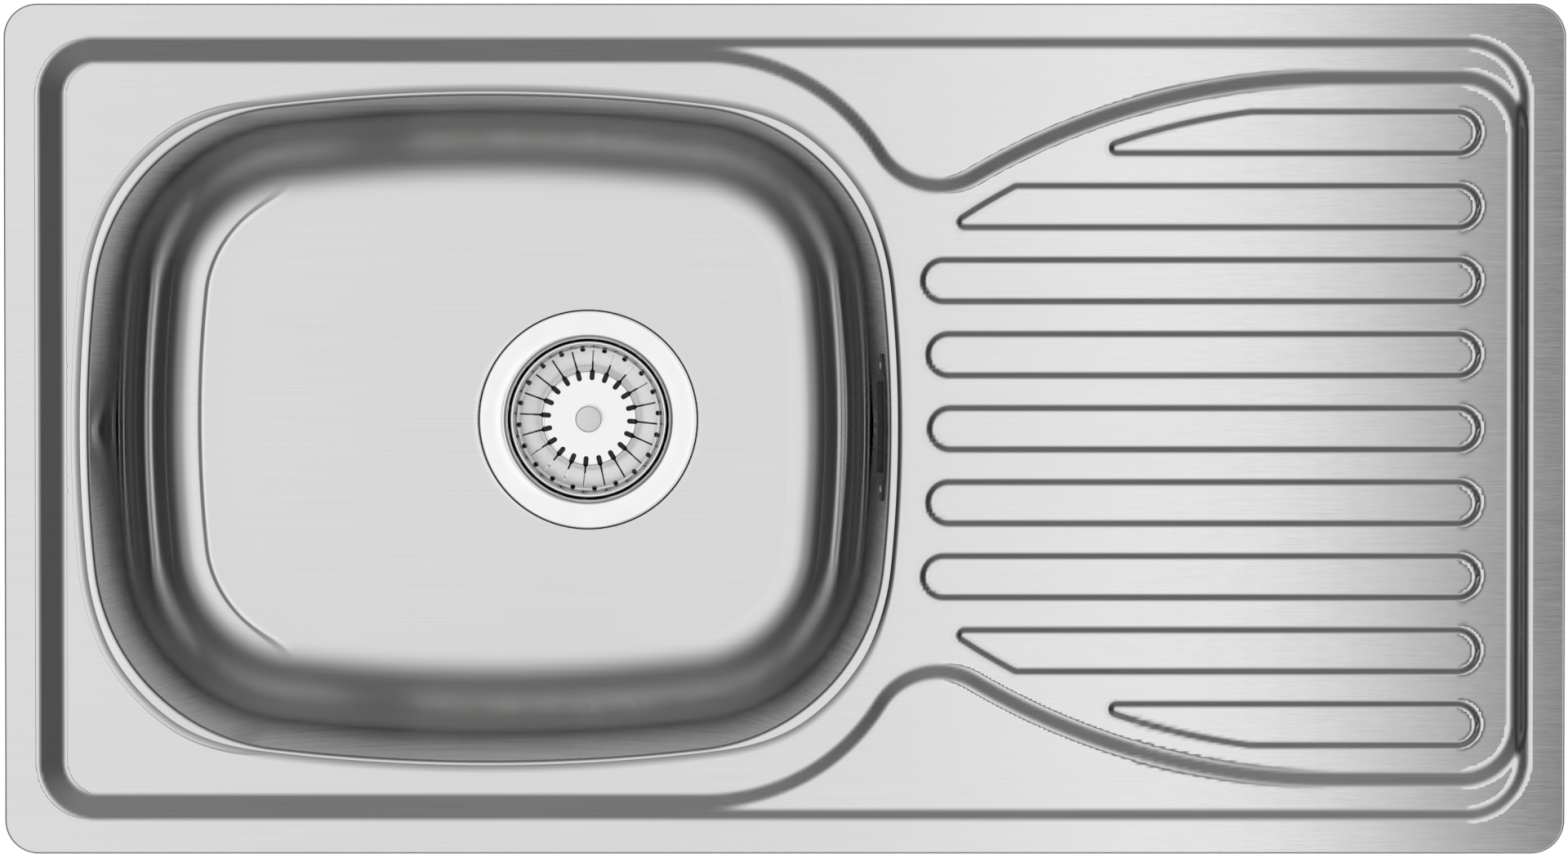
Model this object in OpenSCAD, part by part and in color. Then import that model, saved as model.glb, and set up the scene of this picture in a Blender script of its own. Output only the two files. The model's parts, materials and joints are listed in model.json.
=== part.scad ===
// Inset kitchen sink of pressed stainless steel: one bowl, a ribbed drainer and a basket strainer waste.
// Millimetres. The origin is the centre of the sink on the worktop's top face.
// X runs along the sink towards the drainer, Y towards the back, Z up.

/* [Rim and ledge] */
// Length of the rim, along X
sink_length = 780; // [770:1:800]
// Width of the rim, front to back
sink_width = 425; // [421:1:445]
// Radius of the rim's corners
corner_radius = 17; // [10:0.5:22]
// Height of the rim's top above the worktop
rim_height = 3; // [2.8:0.1:4]
// Thickness of the steel sheet of deck and bowl
sheet = 0.8; // [0.6:0.1:1]
// Width of the flat rim
rim_flat = 17; // [15:0.5:18]
// Size of the rounded outer edge of the rim
edge_round = 1.4; // [1:0.1:1.8]
// Gap between the folded edge and the worktop
edge_gap = 0.3; // [0.1:0.1:0.6]
// Radius of the ledge's corners at the bowl's end
ledge_radius_left = 29; // [24:0.5:32]
// Radius of the ledge's corners at the drainer's end
ledge_radius_right = 33; // [28:0.5:36]
// Horizontal run of the first slope, from the rim to the raised fields
ledge_run = 7; // [6:0.5:8]
// Depth of the raised fields below the rim
field_depth = 3.2; // [2.6:0.1:3.8]
// Depth of the drainer's floor below the rim
floor_depth = 7.5; // [6.5:0.1:8.5]

/* [Wave] */
// Horizontal run of the second slope, from the raised fields to the drainer's floor
wave_run = 7.4; // [6:0.2:8]
// Gap between the foot of the first slope and the drainer's long sides
drainer_inset = 9.5; // [8:0.5:12]
// Radius of the drainer's outer corners
drainer_corner = 27; // [22:0.5:30]
// Straight stretch of the drainer's long sides at its outer end
drainer_straight = 91; // [85:1:97]
// How far a bowed side has come in where it meets the field round the bowl
crest_drop = 66.2; // [60:0.2:72]
// Gap between the bowl's opening and the far edge of the field round it
surround_gap = 13.5; // [12:0.5:16]
// Radius of the corners of the field round the bowl, beside the drainer
surround_radius = 107; // [100:1:112]
// Radius of the tip of each raised field, where the wave turns
tip_radius = 31; // [27:1:35]

/* [Ribs] */
// Number of drainer ribs
rib_count = 9; // [5:2:9]
// Distance of the outermost ribs' middle lines from the drainer's long sides
rib_margin = 31; // [29:0.5:35]
// Width of a rib at its foot
rib_width = 23.5; // [20:0.5:25]
// Height of a rib
rib_height = 2.3; // [1.6:0.1:3]
// Horizontal run of a rib's sloped side
rib_run = 3.2; // [2.4:0.2:3.8]
// Distance from the bowl's opening to the middle rib
rib_start = 17.5; // [16:0.5:22]
// Distance from the ribs' outer ends to the sink's end
rib_end = 42; // [40:0.5:48]
// How much further towards the bowl each rib away from the middle reaches, times its number squared
rib_bow = 0.85; // [0.4:0.05:1]
// Gap between the wave's foot and the cut-back ribs
rib_gap = 9.3; // [8:0.1:11]
// Radius of the tips of the cut-back ribs
rib_tip = 4; // [3.9:0.1:5]

/* [Bowl] */
// Distance from the sink's end to the bowl's opening
bowl_margin = 40.5; // [39.5:0.5:44]
// Length of the bowl's opening, along X
bowl_length = 403; // [395:1:405]
// Distance from the sink's long edges to the bowl's opening
bowl_side_margin = 45; // [43.5:0.5:48]
// Radius of the bulging end walls
bowl_end_bulge = 680; // [600:10:900]
// Radius of the bulging front and back walls
bowl_side_bulge = 920; // [800:10:1200]
// Radius of the bowl's corners at its opening
bowl_corner = 102; // [96:1:110]
// Depth of the bowl's floor below the drainer's floor
bowl_depth = 147.5; // [130:0.5:180]
// Width of the soft bevel round the opening
bevel_width = 5.5; // [4:0.5:6]
// Drop of the soft bevel
bevel_drop = 2; // [1.4:0.1:2.6]
// Radius of the bend from the bevel into the wall
neck_radius = 3.5; // [3:0.25:5]
// Slope of the bowl's walls, in degrees off upright
wall_slope = 9; // [7:0.5:10]
// Radius of the bend from the walls into the floor
floor_bend = 32; // [28:1:36]
// Fall of the bowl's floor towards the waste
floor_fall = 1.5; // [0.8:0.1:2.5]
// Distance from the bowl's centre to the waste, towards the drainer
waste_offset = 47; // [40:1:52]

/* [Strainer] */
// Radius of the waste hole in the bowl
waste_hole = 46.5; // [46.2:0.1:46.9]
// Depth of the recess that the flange lies in
recess_depth = 2.5; // [2:0.1:3]
// Radius of the strainer's flange
flange_radius = 56; // [55:0.25:57]
// Thickness of the strainer cup
cup_sheet = 1; // [0.8:0.1:1.2]
// Inner radius of the cup at its mouth
cup_radius = 42.6; // [42.2:0.1:43]
// Depth of the cup below the recess
cup_depth = 36; // [34:0.5:44]
// Thickness of the gasket under the flange
flange_gasket_height = 1.2; // [0.8:0.1:1.6]
// Radius of each outlet hole in the cup's floor
outlet_hole = 4.5; // [3:0.25:5]
// Radius of the circle of the outlet holes
outlet_circle = 15.5; // [13.5:0.25:16]
// Number of outlet holes
outlet_count = 8; // [4:1:8]
// Outer radius of the basket's rim
basket_radius = 40.3; // [39.5:0.1:41]
// Radius of the basket's floor
basket_floor = 23.8; // [22.8:0.2:25]
// Depth of the basket from its rim to its floor
basket_depth = 18.5; // [16:0.5:20]
// Depth of the basket's rim below the recess
basket_sink = 3; // [2:0.25:4]
// Thickness of the basket's sheet
basket_sheet = 0.8; // [0.6:0.1:1]
// Number of slots, and of small holes between them
slot_count = 20; // [12:1:22]
// Angle of the first slot off the sink's long axis
slot_turn = 13.8; // [0:0.2:18]
// Width of a slot
slot_width = 2.6; // [1.8:0.1:3]
// Radius at which the slots start
slot_start = 19.6; // [17:0.2:21]
// Radius at which the slots end
slot_end = 35.4; // [30:0.2:36]
// Radius of a small hole in the basket's wall
small_hole = 1.3; // [0.9:0.1:1.5]
// Radius of the knob
knob_radius = 7; // [6:0.25:9]
// Height of the knob
knob_height = 17; // [12:0.5:20]
// Radius of the basket's stem
stem_radius = 3; // [2.5:0.1:3.5]
// Radius of the rubber stopper's lip
stopper_radius = 29; // [26:0.5:31]

/* [Waste and overflow] */
// Thickness of the gasket under the bowl
lower_gasket_height = 3; // [2:0.25:4]
// Wall of the plastic waste body
waste_wall = 3; // [2.4:0.2:3.6]
// Inner radius of the waste body
waste_inner = 46; // [45.6:0.2:48]
// Outer radius of the outlet spigot
spigot_radius = 23.9; // [22:0.1:26]
// Length of the outlet spigot
spigot_length = 24; // [18:1:34]
// Radius of the clamp screw
clamp_screw_radius = 3.9; // [3:0.1:4.5]
// Outer radius of the overflow pipe
pipe_radius = 10; // [9:0.25:11]
// Wall of the overflow pipe
pipe_wall = 1.6; // [1.2:0.1:2]
// Radius of the overflow pipe's bend
pipe_bend = 32; // [28:1:40]
// Depth of the overflow port's axis below the recess
port_depth = 27; // [24:0.5:30]
// Length of the overflow port outside the waste body
port_length = 30; // [24:1:36]
// Depth of the overflow slots below the drainer's floor
overflow_depth = 24; // [20:0.5:30]
// Number of overflow slots
overflow_count = 5; // [3:1:5]
// Distance between neighbouring overflow slots
overflow_pitch = 9.8; // [8:0.1:10.5]
// Width of an overflow slot
overflow_slot_width = 4.8; // [3.5:0.1:5.5]
// Height of an overflow slot
overflow_slot_height = 9; // [7:0.5:11]
// Thickness of the overflow gasket
overflow_gasket_height = 2; // [1.4:0.1:3]
// Thickness of the sound pad
pad_height = 2; // [1.2:0.1:3]

/* [Clips] */
// Distance from the sink's edge to the axis of a clip's screw
clip_inset = 46; // [45:0.5:48]
// Distance from the sink's bowl end to the first clips
clip_first = 75; // [72:1:82]
// Distance from the bowl's opening to the middle clips
clip_middle = 31.5; // [28:0.5:40]
// Distance from the sink's drainer end to the last clips
clip_last = 55; // [52:0.5:60]
// Distance of the end clips from the sink's centre line
clip_side = 92.5; // [90:0.5:95]
// Width of the bracket strip
strip_width = 18; // [14:0.5:20]
// Thickness of the bracket strip
strip = 2; // [1.6:0.1:2.5]
// Depth of the threaded flange below the worktop's top face
nut_depth = 30; // [29:0.5:31]
// Radius of the clip screws
screw_radius = 3; // [2.5:0.1:3.2]
// Travel of a claw up and down
claw_travel = 17; // [12:0.5:17]
// Reach of a claw from its screw to its tip
claw_reach = 50; // [46:0.5:52]
// Width of a claw
claw_width = 14; // [11:0.5:15]
// Thickness of a claw
claw_sheet = 2; // [1.6:0.1:2.2]
// Height of a claw's turned-up tip
claw_tip = 5; // [3:0.25:5.5]

/* [Clearances] */
// Radial clearance of parts that turn or slide in each other
running_gap = 0.06; // [0.03:0.01:0.1]
// Gap between stacked parts on different bodies
seat_gap = 0.05; // [0.03:0.01:0.1]
// Gap round parts that only pass through a hole
loose_gap = 0.3; // [0.2:0.05:0.5]
// Thickness of the glue between the bowl and its sound pad
glue_film = 0.05; // [0.04:0.01:0.1]

/* [Hidden] */
$fa = 3;
$fs = 0.4;

STEEL = "gainsboro";
POLISHED = "whitesmoke";
PLASTIC = "dimgray";
RUBBER = "black";
ZINC = "silver";

half_l = sink_length / 2;
half_w = sink_width / 2;
field_z = rim_height - field_depth;
floor_z = rim_height - floor_depth;
rim_under = rim_height - sheet;

// Extra length of a shape that only cuts
over = 2;

// The pressing is cut from a block. Its core lies inside the rim and reaches below the floor.
core_inset = 10;
core_foot = floor_z - sheet - 4;
block_margin = 10;
block_foot = core_foot - block_margin;

// The field round the bowl, the drainer and the wave between them, at the level of the raised fields
bowl_width = sink_width - 2 * bowl_side_margin;
bowl_x = -half_l + bowl_margin + bowl_length / 2;
bowl_right = bowl_x + bowl_length / 2;
inner_end = half_l - rim_flat - ledge_run;
inner_side = half_w - rim_flat - ledge_run;
surround_right = bowl_right + surround_gap;
surround_corner = [surround_right - surround_radius, inner_side - surround_radius];
drainer_half = inner_side - drainer_inset;
crest_x = inner_end - drainer_straight;
crest_run = crest_x - surround_right;
crest_radius = (crest_run * crest_run + crest_drop * crest_drop) / (2 * crest_drop);
crest_centre = [crest_x, drainer_half - crest_radius];
// The bowed part reaches under the field round the bowl and under the straight part
crest_reach = 40;
crest_start = surround_right - crest_reach;
crest_end = crest_x + crest_reach / 2;

// One of the two points at the distances r1 and r2 from the points c1 and c2
function meeting(c1, r1, c2, r2, side) =
    let(
        apart = norm(c2 - c1),
        along = (r1 * r1 - r2 * r2 + apart * apart) / (2 * apart),
        across = sqrt(r1 * r1 - along * along),
        u = (c2 - c1) / apart
    )
    c1 + along * u + side * across * [-u.y, u.x];

tip_centre = meeting(surround_corner, surround_radius + tip_radius,
    crest_centre, crest_radius + tip_radius, 1);

// Ribs
rib_half = rib_width / 2;
rib_right = half_l - rib_end;
rib_trim = crest_radius - wave_run - rib_gap;
rib_side = (rib_count - 1) / 2;
rib_pitch = (drainer_half - rib_margin) / rib_side;

// The bowl's opening is a closed chain of tangent arcs: bulging ends and sides, round corners
end_centre = [bowl_length / 2 - bowl_end_bulge, 0];
side_centre = [0, bowl_width / 2 - bowl_side_bulge];
corner_centre = meeting(end_centre, bowl_end_bulge - bowl_corner,
    side_centre, bowl_side_bulge - bowl_corner, 1);
end_angle = atan2(corner_centre.y - end_centre.y, corner_centre.x - end_centre.x);
side_angle = atan2(corner_centre.y - side_centre.y, corner_centre.x - side_centre.x);
END_STEPS = 2;
CORNER_STEPS = 9;
SIDE_STEPS = 3;

// Each spoke is the angle of its outward normal, its arc's centre and its arc's radius
quarter_spokes = concat(
    [for (i = [0:END_STEPS - 1]) [end_angle * i / END_STEPS, end_centre, bowl_end_bulge]],
    [for (i = [0:CORNER_STEPS - 1])
        [end_angle + (side_angle - end_angle) * i / CORNER_STEPS, corner_centre, bowl_corner]],
    [for (i = [0:SIDE_STEPS])
        [side_angle + (90 - side_angle) * i / SIDE_STEPS, side_centre, bowl_side_bulge]]
);
quarter_last = len(quarter_spokes) - 1;

function flip_x(spoke) = [180 - spoke[0], [-spoke[1].x, spoke[1].y], spoke[2]];
function half_turn(spoke) = [spoke[0] + 180, -spoke[1], spoke[2]];

bowl_spokes = concat(
    [for (i = [0:quarter_last - 1]) quarter_spokes[i]],
    [for (i = [quarter_last:-1:1]) flip_x(quarter_spokes[i])],
    [for (i = [0:quarter_last - 1]) half_turn(quarter_spokes[i])],
    [for (i = [quarter_last:-1:1]) half_turn(flip_x(quarter_spokes[i]))]
);

// The opening's outline, moved outwards by grow
function bowl_outline(grow) =
    [for (s = bowl_spokes) [bowl_x, 0] + s[1] + (s[2] + grow) * [cos(s[0]), sin(s[0])]];

// The bowl's section: distance outwards from the opening's edge, and height
bevel_angle = atan2(bevel_drop, bevel_width);
wall_angle = 90 - wall_slope;
edge_z = floor_z - bevel_drop;
neck_centre = [neck_radius * sin(bevel_angle), edge_z - neck_radius * cos(bevel_angle)];
function neck_point(a) = neck_centre + neck_radius * [-sin(a), cos(a)];
floor_edge_z = floor_z - bowl_depth;
floor_angle = 1;
bend_z = floor_edge_z + floor_bend * cos(floor_angle);
wall_top = neck_point(wall_angle);
wall_foot_z = bend_z - floor_bend * cos(wall_angle);
wall_foot = [wall_top.x - (wall_top.y - wall_foot_z) * tan(wall_slope), wall_foot_z];
bend_centre = [wall_foot.x - floor_bend * sin(wall_angle), bend_z];
function bend_point(a) = bend_centre + floor_bend * [sin(a), -cos(a)];
NECK_STEPS = 3;
BEND_STEPS = 6;
bowl_section = concat(
    [[bevel_width, floor_z]],
    [for (i = [0:NECK_STEPS]) neck_point(bevel_angle + (wall_angle - bevel_angle) * i / NECK_STEPS)],
    [for (i = [0:BEND_STEPS]) bend_point(wall_angle + (floor_angle - wall_angle) * i / BEND_STEPS)]
);
section_last = len(bowl_section) - 1;
// The section's point at the foot of the wall
foot_index = section_last - BEND_STEPS;

// The normal under a stretch that runs inwards from a to b
function under(a, b) = [a.y - b.y, b.x - a.x] / norm(b - a);

// A path of [radius, height] that runs inwards, moved to its underside by t
function underside(path, t) =
    [for (i = [0:len(path) - 1])
        let(
            last = len(path) - 1,
            before = under(path[max(i - 1, 0)], path[max(i, 1)]),
            after = under(path[min(i, last - 1)], path[min(i + 1, last)])
        )
        path[i] + t * (before + after) / (1 + before * after)];

// The closed section of a sheet of thickness t under a path
function sheet_section(path, t) =
    let(low = underside(path, t), last = len(path) - 1)
    concat(path, [for (i = [last:-1:0]) low[i]]);

bowl_under = [for (i = [0:section_last])
    i == 0 ? bowl_section[0] - [0, sheet] : underside(bowl_section, sheet)[i]];

// The waste
waste_x = bowl_x + waste_offset;
recess_z = floor_edge_z - floor_fall - recess_depth;
recess_radius = flange_radius + 1.5;
recess_wall = 2.5;
cut_margin = 2.5;
floor_loop = bowl_outline(bowl_section[section_last].x);
function waste_ring(r) = [for (p = floor_loop)
    let(a = atan2(p.y, p.x - waste_x)) [waste_x + r * cos(a), r * sin(a)]];
function between(a, b, f) = [for (i = [0:len(a) - 1]) a[i] * (1 - f) + b[i] * f];
function raised(loop, z) = [for (p = loop) [p.x, p.y, z]];

// The loops of the bowl's upper face, from the bevel to inside the waste hole
half_floor = between(floor_loop, waste_ring(recess_radius + recess_wall), 0.5);
floor_loops = [
    raised(half_floor, floor_edge_z - floor_fall / 2),
    raised(waste_ring(recess_radius + recess_wall), floor_edge_z - floor_fall),
    raised(waste_ring(recess_radius), recess_z),
    raised(waste_ring(waste_hole - cut_margin), recess_z)
];
upper_loops = concat([for (p = bowl_section) raised(bowl_outline(p.x), p.y)], floor_loops);
lower_loops = concat(
    [for (p = bowl_under) raised(bowl_outline(p.x), p.y)],
    [for (loop = floor_loops) [for (p = loop) p - [0, 0, sheet]]]
);

// The overflow: a frame on the outside of the bowl's end wall, x away from it and z up along it
overflow_z = floor_z - overflow_depth;
overflow_x = bowl_right + wall_top.x - (wall_top.y - overflow_z) * tan(wall_slope);
overflow_face = sheet / cos(wall_slope);
stud_gap = 9;
stud_side = overflow_pitch * (overflow_count - 1) / 2 + overflow_slot_width / 2 + stud_gap;
stud_radius = 2;
stud_length = 11;
stud_weld = 0.3;
ear_radius = 6;
// How far the bulging wall falls back for each millimetre sideways
wall_fall = tan(end_angle / END_STEPS / 2) * cos(wall_slope);
box_margin = 5;
box_drop = 12;
box_half = stud_side - box_margin;
box_top = overflow_slot_height / 2 + box_margin;
box_foot = overflow_slot_height / 2 + box_drop;
box_wall = 2;
box_flange = 2.5;
socket_length = 16;
socket_wall = 2.6;
port_radius = pipe_radius + running_gap + socket_wall;
union_length = 15;
union_radius = port_radius + 3.6;
socket_axis = union_radius + 2;
box_depth = socket_axis + port_radius - overflow_gasket_height;
// How far the pipe reaches into its sockets, and how much thicker its elbow is
insert = 11;
elbow_wall = 0.3;
port_z = recess_z - port_depth;
function from_overflow(away, up) = [
    overflow_x + overflow_face + away * cos(wall_slope) + up * sin(wall_slope),
    overflow_z - away * sin(wall_slope) + up * cos(wall_slope)
];
pipe_top = from_overflow(socket_axis, -box_foot - socket_length + insert);
pipe_run = (pipe_top.y - port_z - pipe_bend * (1 - sin(wall_slope))) / cos(wall_slope);
bend_start = pipe_top - pipe_run * [sin(wall_slope), cos(wall_slope)];
bend_x = bend_start.x - pipe_bend * cos(wall_slope);
port_end = waste_x + waste_inner + waste_wall + port_length;

// The strainer's parts, measured down from the recess
cup_path = [
    [flange_radius, flange_gasket_height + 0.2],
    [flange_radius - 1.2, flange_gasket_height + 0.8],
    [flange_radius - 4, flange_gasket_height + cup_sheet],
    [cup_radius + 4.4, flange_gasket_height + cup_sheet],
    [cup_radius + 1.8, flange_gasket_height + cup_sheet - 0.8],
    [cup_radius + 0.6, -0.8],
    [cup_radius, -4],
    [cup_radius - 0.6, -cup_depth + 6],
    [cup_radius - 3, -cup_depth + 1.5],
    [cup_radius - 7.5, -cup_depth],
    [0, -cup_depth]
];
basket_top = -basket_sink;
basket_floor_z = basket_top - basket_depth;
basket_path = [
    [basket_radius, basket_top - 0.8],
    [basket_radius - 0.6, basket_top - 0.2],
    [basket_radius - 1.2, basket_top],
    [basket_radius - 2, basket_top - 0.3],
    [basket_radius - 2.6, basket_top - 1.2],
    [basket_radius - 3.4, basket_top - 3.6],
    [basket_floor + 1.8, basket_floor_z + 1.2],
    [basket_floor, basket_floor_z],
    [stem_radius + running_gap, basket_floor_z]
];
hole_circle = slot_end + 0.4;
floor_under = basket_floor_z - basket_sheet;
stem_collar = 5;
collar_height = 1.6;
stem_head = 4.4;
head_height = 2;
head_floor = basket_floor_z + 4;
stopper_top = floor_under - seat_gap - collar_height;
stopper_disc = 2.6;
stem_nut_height = 3;
stopper_foot = -cup_depth + seat_gap;
stem_foot = stopper_top - stopper_disc - stem_nut_height - 0.6;

// The waste body
waste_top = -sheet - lower_gasket_height;
waste_flange = flange_radius - 0.5;
cup_foot = -cup_depth - cup_sheet;
boss_radius = clamp_screw_radius + 4;
boss_length = 14;
boss_foot = cup_foot - boss_length;
cone_drop = 6;
cone_height = 14;
cone_top = cup_foot - cone_drop;
cone_foot = cone_top - cone_height;
spigot_foot = cone_foot - spigot_length;
clamp_head = 3.6;
seal_height = 2.4;

// Clips
screw_hole = screw_radius + running_gap;
claw_top_z = -nut_depth - strip - 0.9;
claw_z = claw_top_z - claw_sheet - claw_travel;
washer_height = 1.2;
washer_z = claw_z - seat_gap - washer_height;
head_height_clip = 4;
head_z = washer_z - seat_gap - head_height_clip;
eye_radius = 7.6;
bracket_reach = 6;
// A claw's stiffening rib starts clear of the bracket's corners, so that the claw can swing below it
claw_rib_start = norm([strip_width / 2, bracket_reach]) + 1;
web_inset = 8;
weld_nut_height = 5;
engaged = 4;
screw_tip = engaged - nut_depth;
// Place, direction outwards and hand of each clip: its name, x, y, angle, hand
CLIPS = [
    ["rear_left", -half_l + clip_first, half_w - clip_inset, 90, 1],
    ["rear_middle", bowl_right + clip_middle, half_w - clip_inset, 90, 1],
    ["rear_right", half_l - clip_last, half_w - clip_inset, 90, -1],
    ["front_left", -half_l + clip_first, -half_w + clip_inset, -90, -1],
    ["front_middle", bowl_right + clip_middle, -half_w + clip_inset, -90, -1],
    ["front_right", half_l - clip_last, -half_w + clip_inset, -90, 1],
    ["end_rear", half_l - clip_inset, clip_side, 0, 1],
    ["end_front", half_l - clip_inset, -clip_side, 0, -1]
];
// The middle clips hang from the raised fields, the others from the floor
function strip_top(clip) =
    (clip[0] == "rear_middle" || clip[0] == "front_middle" ? field_z : floor_z) - sheet;

// A bar along X with a trapezoid section, half as wide at its foot and its top as given
module sloped_bar(x0, x1, half_foot, half_top, z0, z1) {
    translate([x0, 0, 0]) rotate([90, 0, 90]) linear_extrude(x1 - x0)
        polygon([[-half_foot, z0], [half_foot, z0], [half_top, z1], [-half_top, z1]]);
}

// The end of a field that reaches from x_in to x_foot at z0 and to x_top at z1
module sloped_end(x_in, x_foot, x_top, half, z0, z1) {
    rotate([90, 0, 0]) linear_extrude(2 * half, center = true)
        polygon([[x_in, z0], [x_foot, z0], [x_top, z1], [x_in, z1]]);
}

// Two round corners of a field
module sloped_corners(x, y, r_foot, r_top, z0, z1) {
    for (side = [-1, 1]) translate([x, side * y, z0])
        cylinder(h = z1 - z0, r1 = r_foot, r2 = r_top);
}

// A field with sloped sides. The sizes hold at z1, and run is how much it is smaller all round at z0.
// Its slopes carry on upwards by above and downwards by below.
module sloped_field(x0, x1, half, r_left, r_right, run, z0, z1, above = 0, below = 0) {
    slope = run / (z1 - z0);
    top = above * slope;
    foot = -run - below * slope;
    low = z0 - below;
    high = z1 + above;
    middle = (x0 + x1) / 2;
    sloped_bar(x0 + r_left, x1 - r_right, half + foot, half + top, low, high);
    sloped_end(middle, x0 - foot, x0 - top, half - r_left, low, high);
    sloped_end(middle, x1 + foot, x1 + top, half - r_right, low, high);
    sloped_corners(x0 + r_left, half - r_left, r_left + foot, r_left + top, low, high);
    sloped_corners(x1 - r_right, half - r_right, r_right + foot, r_right + top, low, high);
}

// The rim's block before pressing, inset all round
module rim_block(inset, drop) {
    edge = edge_round - inset / 2;
    low = rim_height - drop - edge;
    x = half_l - inset;
    y = half_w - inset;
    r = corner_radius - inset;
    foot = drop > 0 ? block_foot : edge_gap;
    translate([0, 0, foot]) linear_extrude(low - foot) rounded_plate(x, y, r);
    sloped_field(-x + edge, x - edge, y - edge, r - edge, r - edge, -edge, low, rim_height - drop);
    if (drop == 0) translate([0, 0, core_foot]) linear_extrude(edge_gap - core_foot + over / 2)
        rounded_plate(x - core_inset, y - core_inset, r);
}

module rounded_plate(x, y, r) {
    square([2 * x - 2 * r, 2 * y], center = true);
    square([2 * x, 2 * y - 2 * r], center = true);
    for (sx = [-1, 1]) for (sy = [-1, 1]) translate([sx * (x - r), sy * (y - r)]) circle(r);
}

// The drainer's bowed part: what lies inside both long arcs
module crest_field(shrink_foot, shrink_top, z0, z1) {
    intersection() {
        translate([crest_x, crest_centre.y, z0])
            cylinder(h = z1 - z0, r1 = crest_radius - shrink_foot, r2 = crest_radius - shrink_top);
        translate([crest_x, -crest_centre.y, z0])
            cylinder(h = z1 - z0, r1 = crest_radius - shrink_foot, r2 = crest_radius - shrink_top);
        translate([crest_start, -half_w, z0 - over])
            cube([crest_end - crest_start, sink_width, z1 - z0 + 2 * over]);
    }
}

// The neck between the field round the bowl and the drainer, round the tip of a raised field
module neck_field(z0, z1, above) {
    slope = wave_run / (z1 - z0);
    toward = tip_centre + (crest_centre - tip_centre) * tip_centre.y / (tip_centre.y - crest_centre.y);
    difference() {
        translate([0, 0, z0]) linear_extrude(z1 - z0 + above)
            polygon([tip_centre, surround_corner, toward]);
        translate([tip_centre.x, tip_centre.y, z0])
            cylinder(h = z1 - z0 + above, r1 = tip_radius + wave_run, r2 = tip_radius - above * slope);
    }
}

// Everything that is pressed down from the rim
module sunk_fields() {
    sloped_field(-half_l + rim_flat, half_l - rim_flat, half_w - rim_flat,
        ledge_radius_left, ledge_radius_right, ledge_run, field_z, rim_height, above = over);
    above = 1;
    slope = wave_run / (field_z - floor_z);
    sloped_field(-inner_end, surround_right, inner_side, ledge_radius_left - ledge_run,
        surround_radius, wave_run, floor_z, field_z, above = above);
    crest_field(wave_run, -above * slope, floor_z, field_z + above);
    sloped_bar(crest_x, inner_end - drainer_corner, drainer_half - wave_run,
        drainer_half + above * slope, floor_z, field_z + above);
    sloped_end(crest_x, inner_end - wave_run, inner_end + above * slope,
        drainer_half - drainer_corner, floor_z, field_z + above);
    sloped_corners(inner_end - drainer_corner, drainer_half - drainer_corner,
        drainer_corner - wave_run, drainer_corner + above * slope, floor_z, field_z + above);
    for (side = [0, 1]) mirror([0, side, 0]) neck_field(floor_z, field_z, above);
}

// The body of a rib at y, from x0 to x1 at its foot
module rib_bar(x0, x1, y, z0, z1) {
    foot = rib_half + (floor_z - z0) * rib_run / rib_height;
    top = rib_half - rib_run;
    translate([0, y, 0]) {
        sloped_bar(x0 + rib_half, x1 - rib_half, foot, top, z0, z1);
        for (x = [x0 + rib_half, x1 - rib_half]) translate([x, 0, z0])
            cylinder(h = z1 - z0, r1 = foot, r2 = top);
    }
}

// A rib. Where the bowed side would cut its corner, it is cut back along the bow with a rounded tip.
module rib(number) {
    y = number * rib_pitch;
    x0 = bowl_right + rib_start - rib_bow * number * number;
    sunk = 0.3;
    z0 = floor_z - sunk;
    z1 = floor_z + rib_height;
    spread = sunk * rib_run / rib_height;
    beyond = 60;
    clear = norm([x0 + rib_half, y] - crest_centre) + rib_half < rib_trim;
    // The tip reaches a little past the sides that it rounds off, so that their surfaces cross
    past = 0.05;
    tip_y = y - rib_half + rib_tip - past;
    tip_x = crest_x - sqrt(pow(rib_trim - rib_tip + past, 2) - pow(tip_y - crest_centre.y, 2));
    out = ([tip_x, tip_y] - crest_centre) / norm([tip_x, tip_y] - crest_centre);
    if (clear) rib_bar(x0, rib_right, y, z0, z1);
    else intersection() {
        rib_bar(x0, rib_right, y, z0, z1);
        translate([crest_x, crest_centre.y, z0])
            cylinder(h = z1 - z0, r1 = rib_trim + spread, r2 = rib_trim - rib_run);
        if (tip_x > x0 + rib_half) union() {
            translate([tip_x, tip_y, z0])
                cylinder(h = z1 - z0, r1 = rib_tip + spread, r2 = rib_tip - rib_run);
            translate([0, 0, z0 - over]) linear_extrude(z1 - z0 + 2 * over) polygon([
                [tip_x, tip_y],
                [tip_x, tip_y - beyond],
                [half_l, tip_y - beyond],
                [half_l, tip_y + beyond],
                [tip_x, tip_y] + beyond * out
            ]);
        }
    }
}

module ribs() {
    rib(0);
    for (number = [1:rib_side]) for (side = [0, 1]) mirror([0, side, 0]) rib(number);
}

// The solid under the deck's upper face, or under its lower face with a drop
module pressed_form(inset, drop) {
    difference() {
        rim_block(inset, drop);
        translate([0, 0, -drop]) sunk_fields();
    }
    translate([0, 0, -drop]) ribs();
}

module deck() {
    color(STEEL) difference() {
        pressed_form(0, 0);
        pressed_form(sheet, sheet);
        translate([0, 0, block_foot - over]) linear_extrude(rim_height - block_foot + 2 * over)
            polygon(bowl_outline(bevel_width));
    }
}

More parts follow.
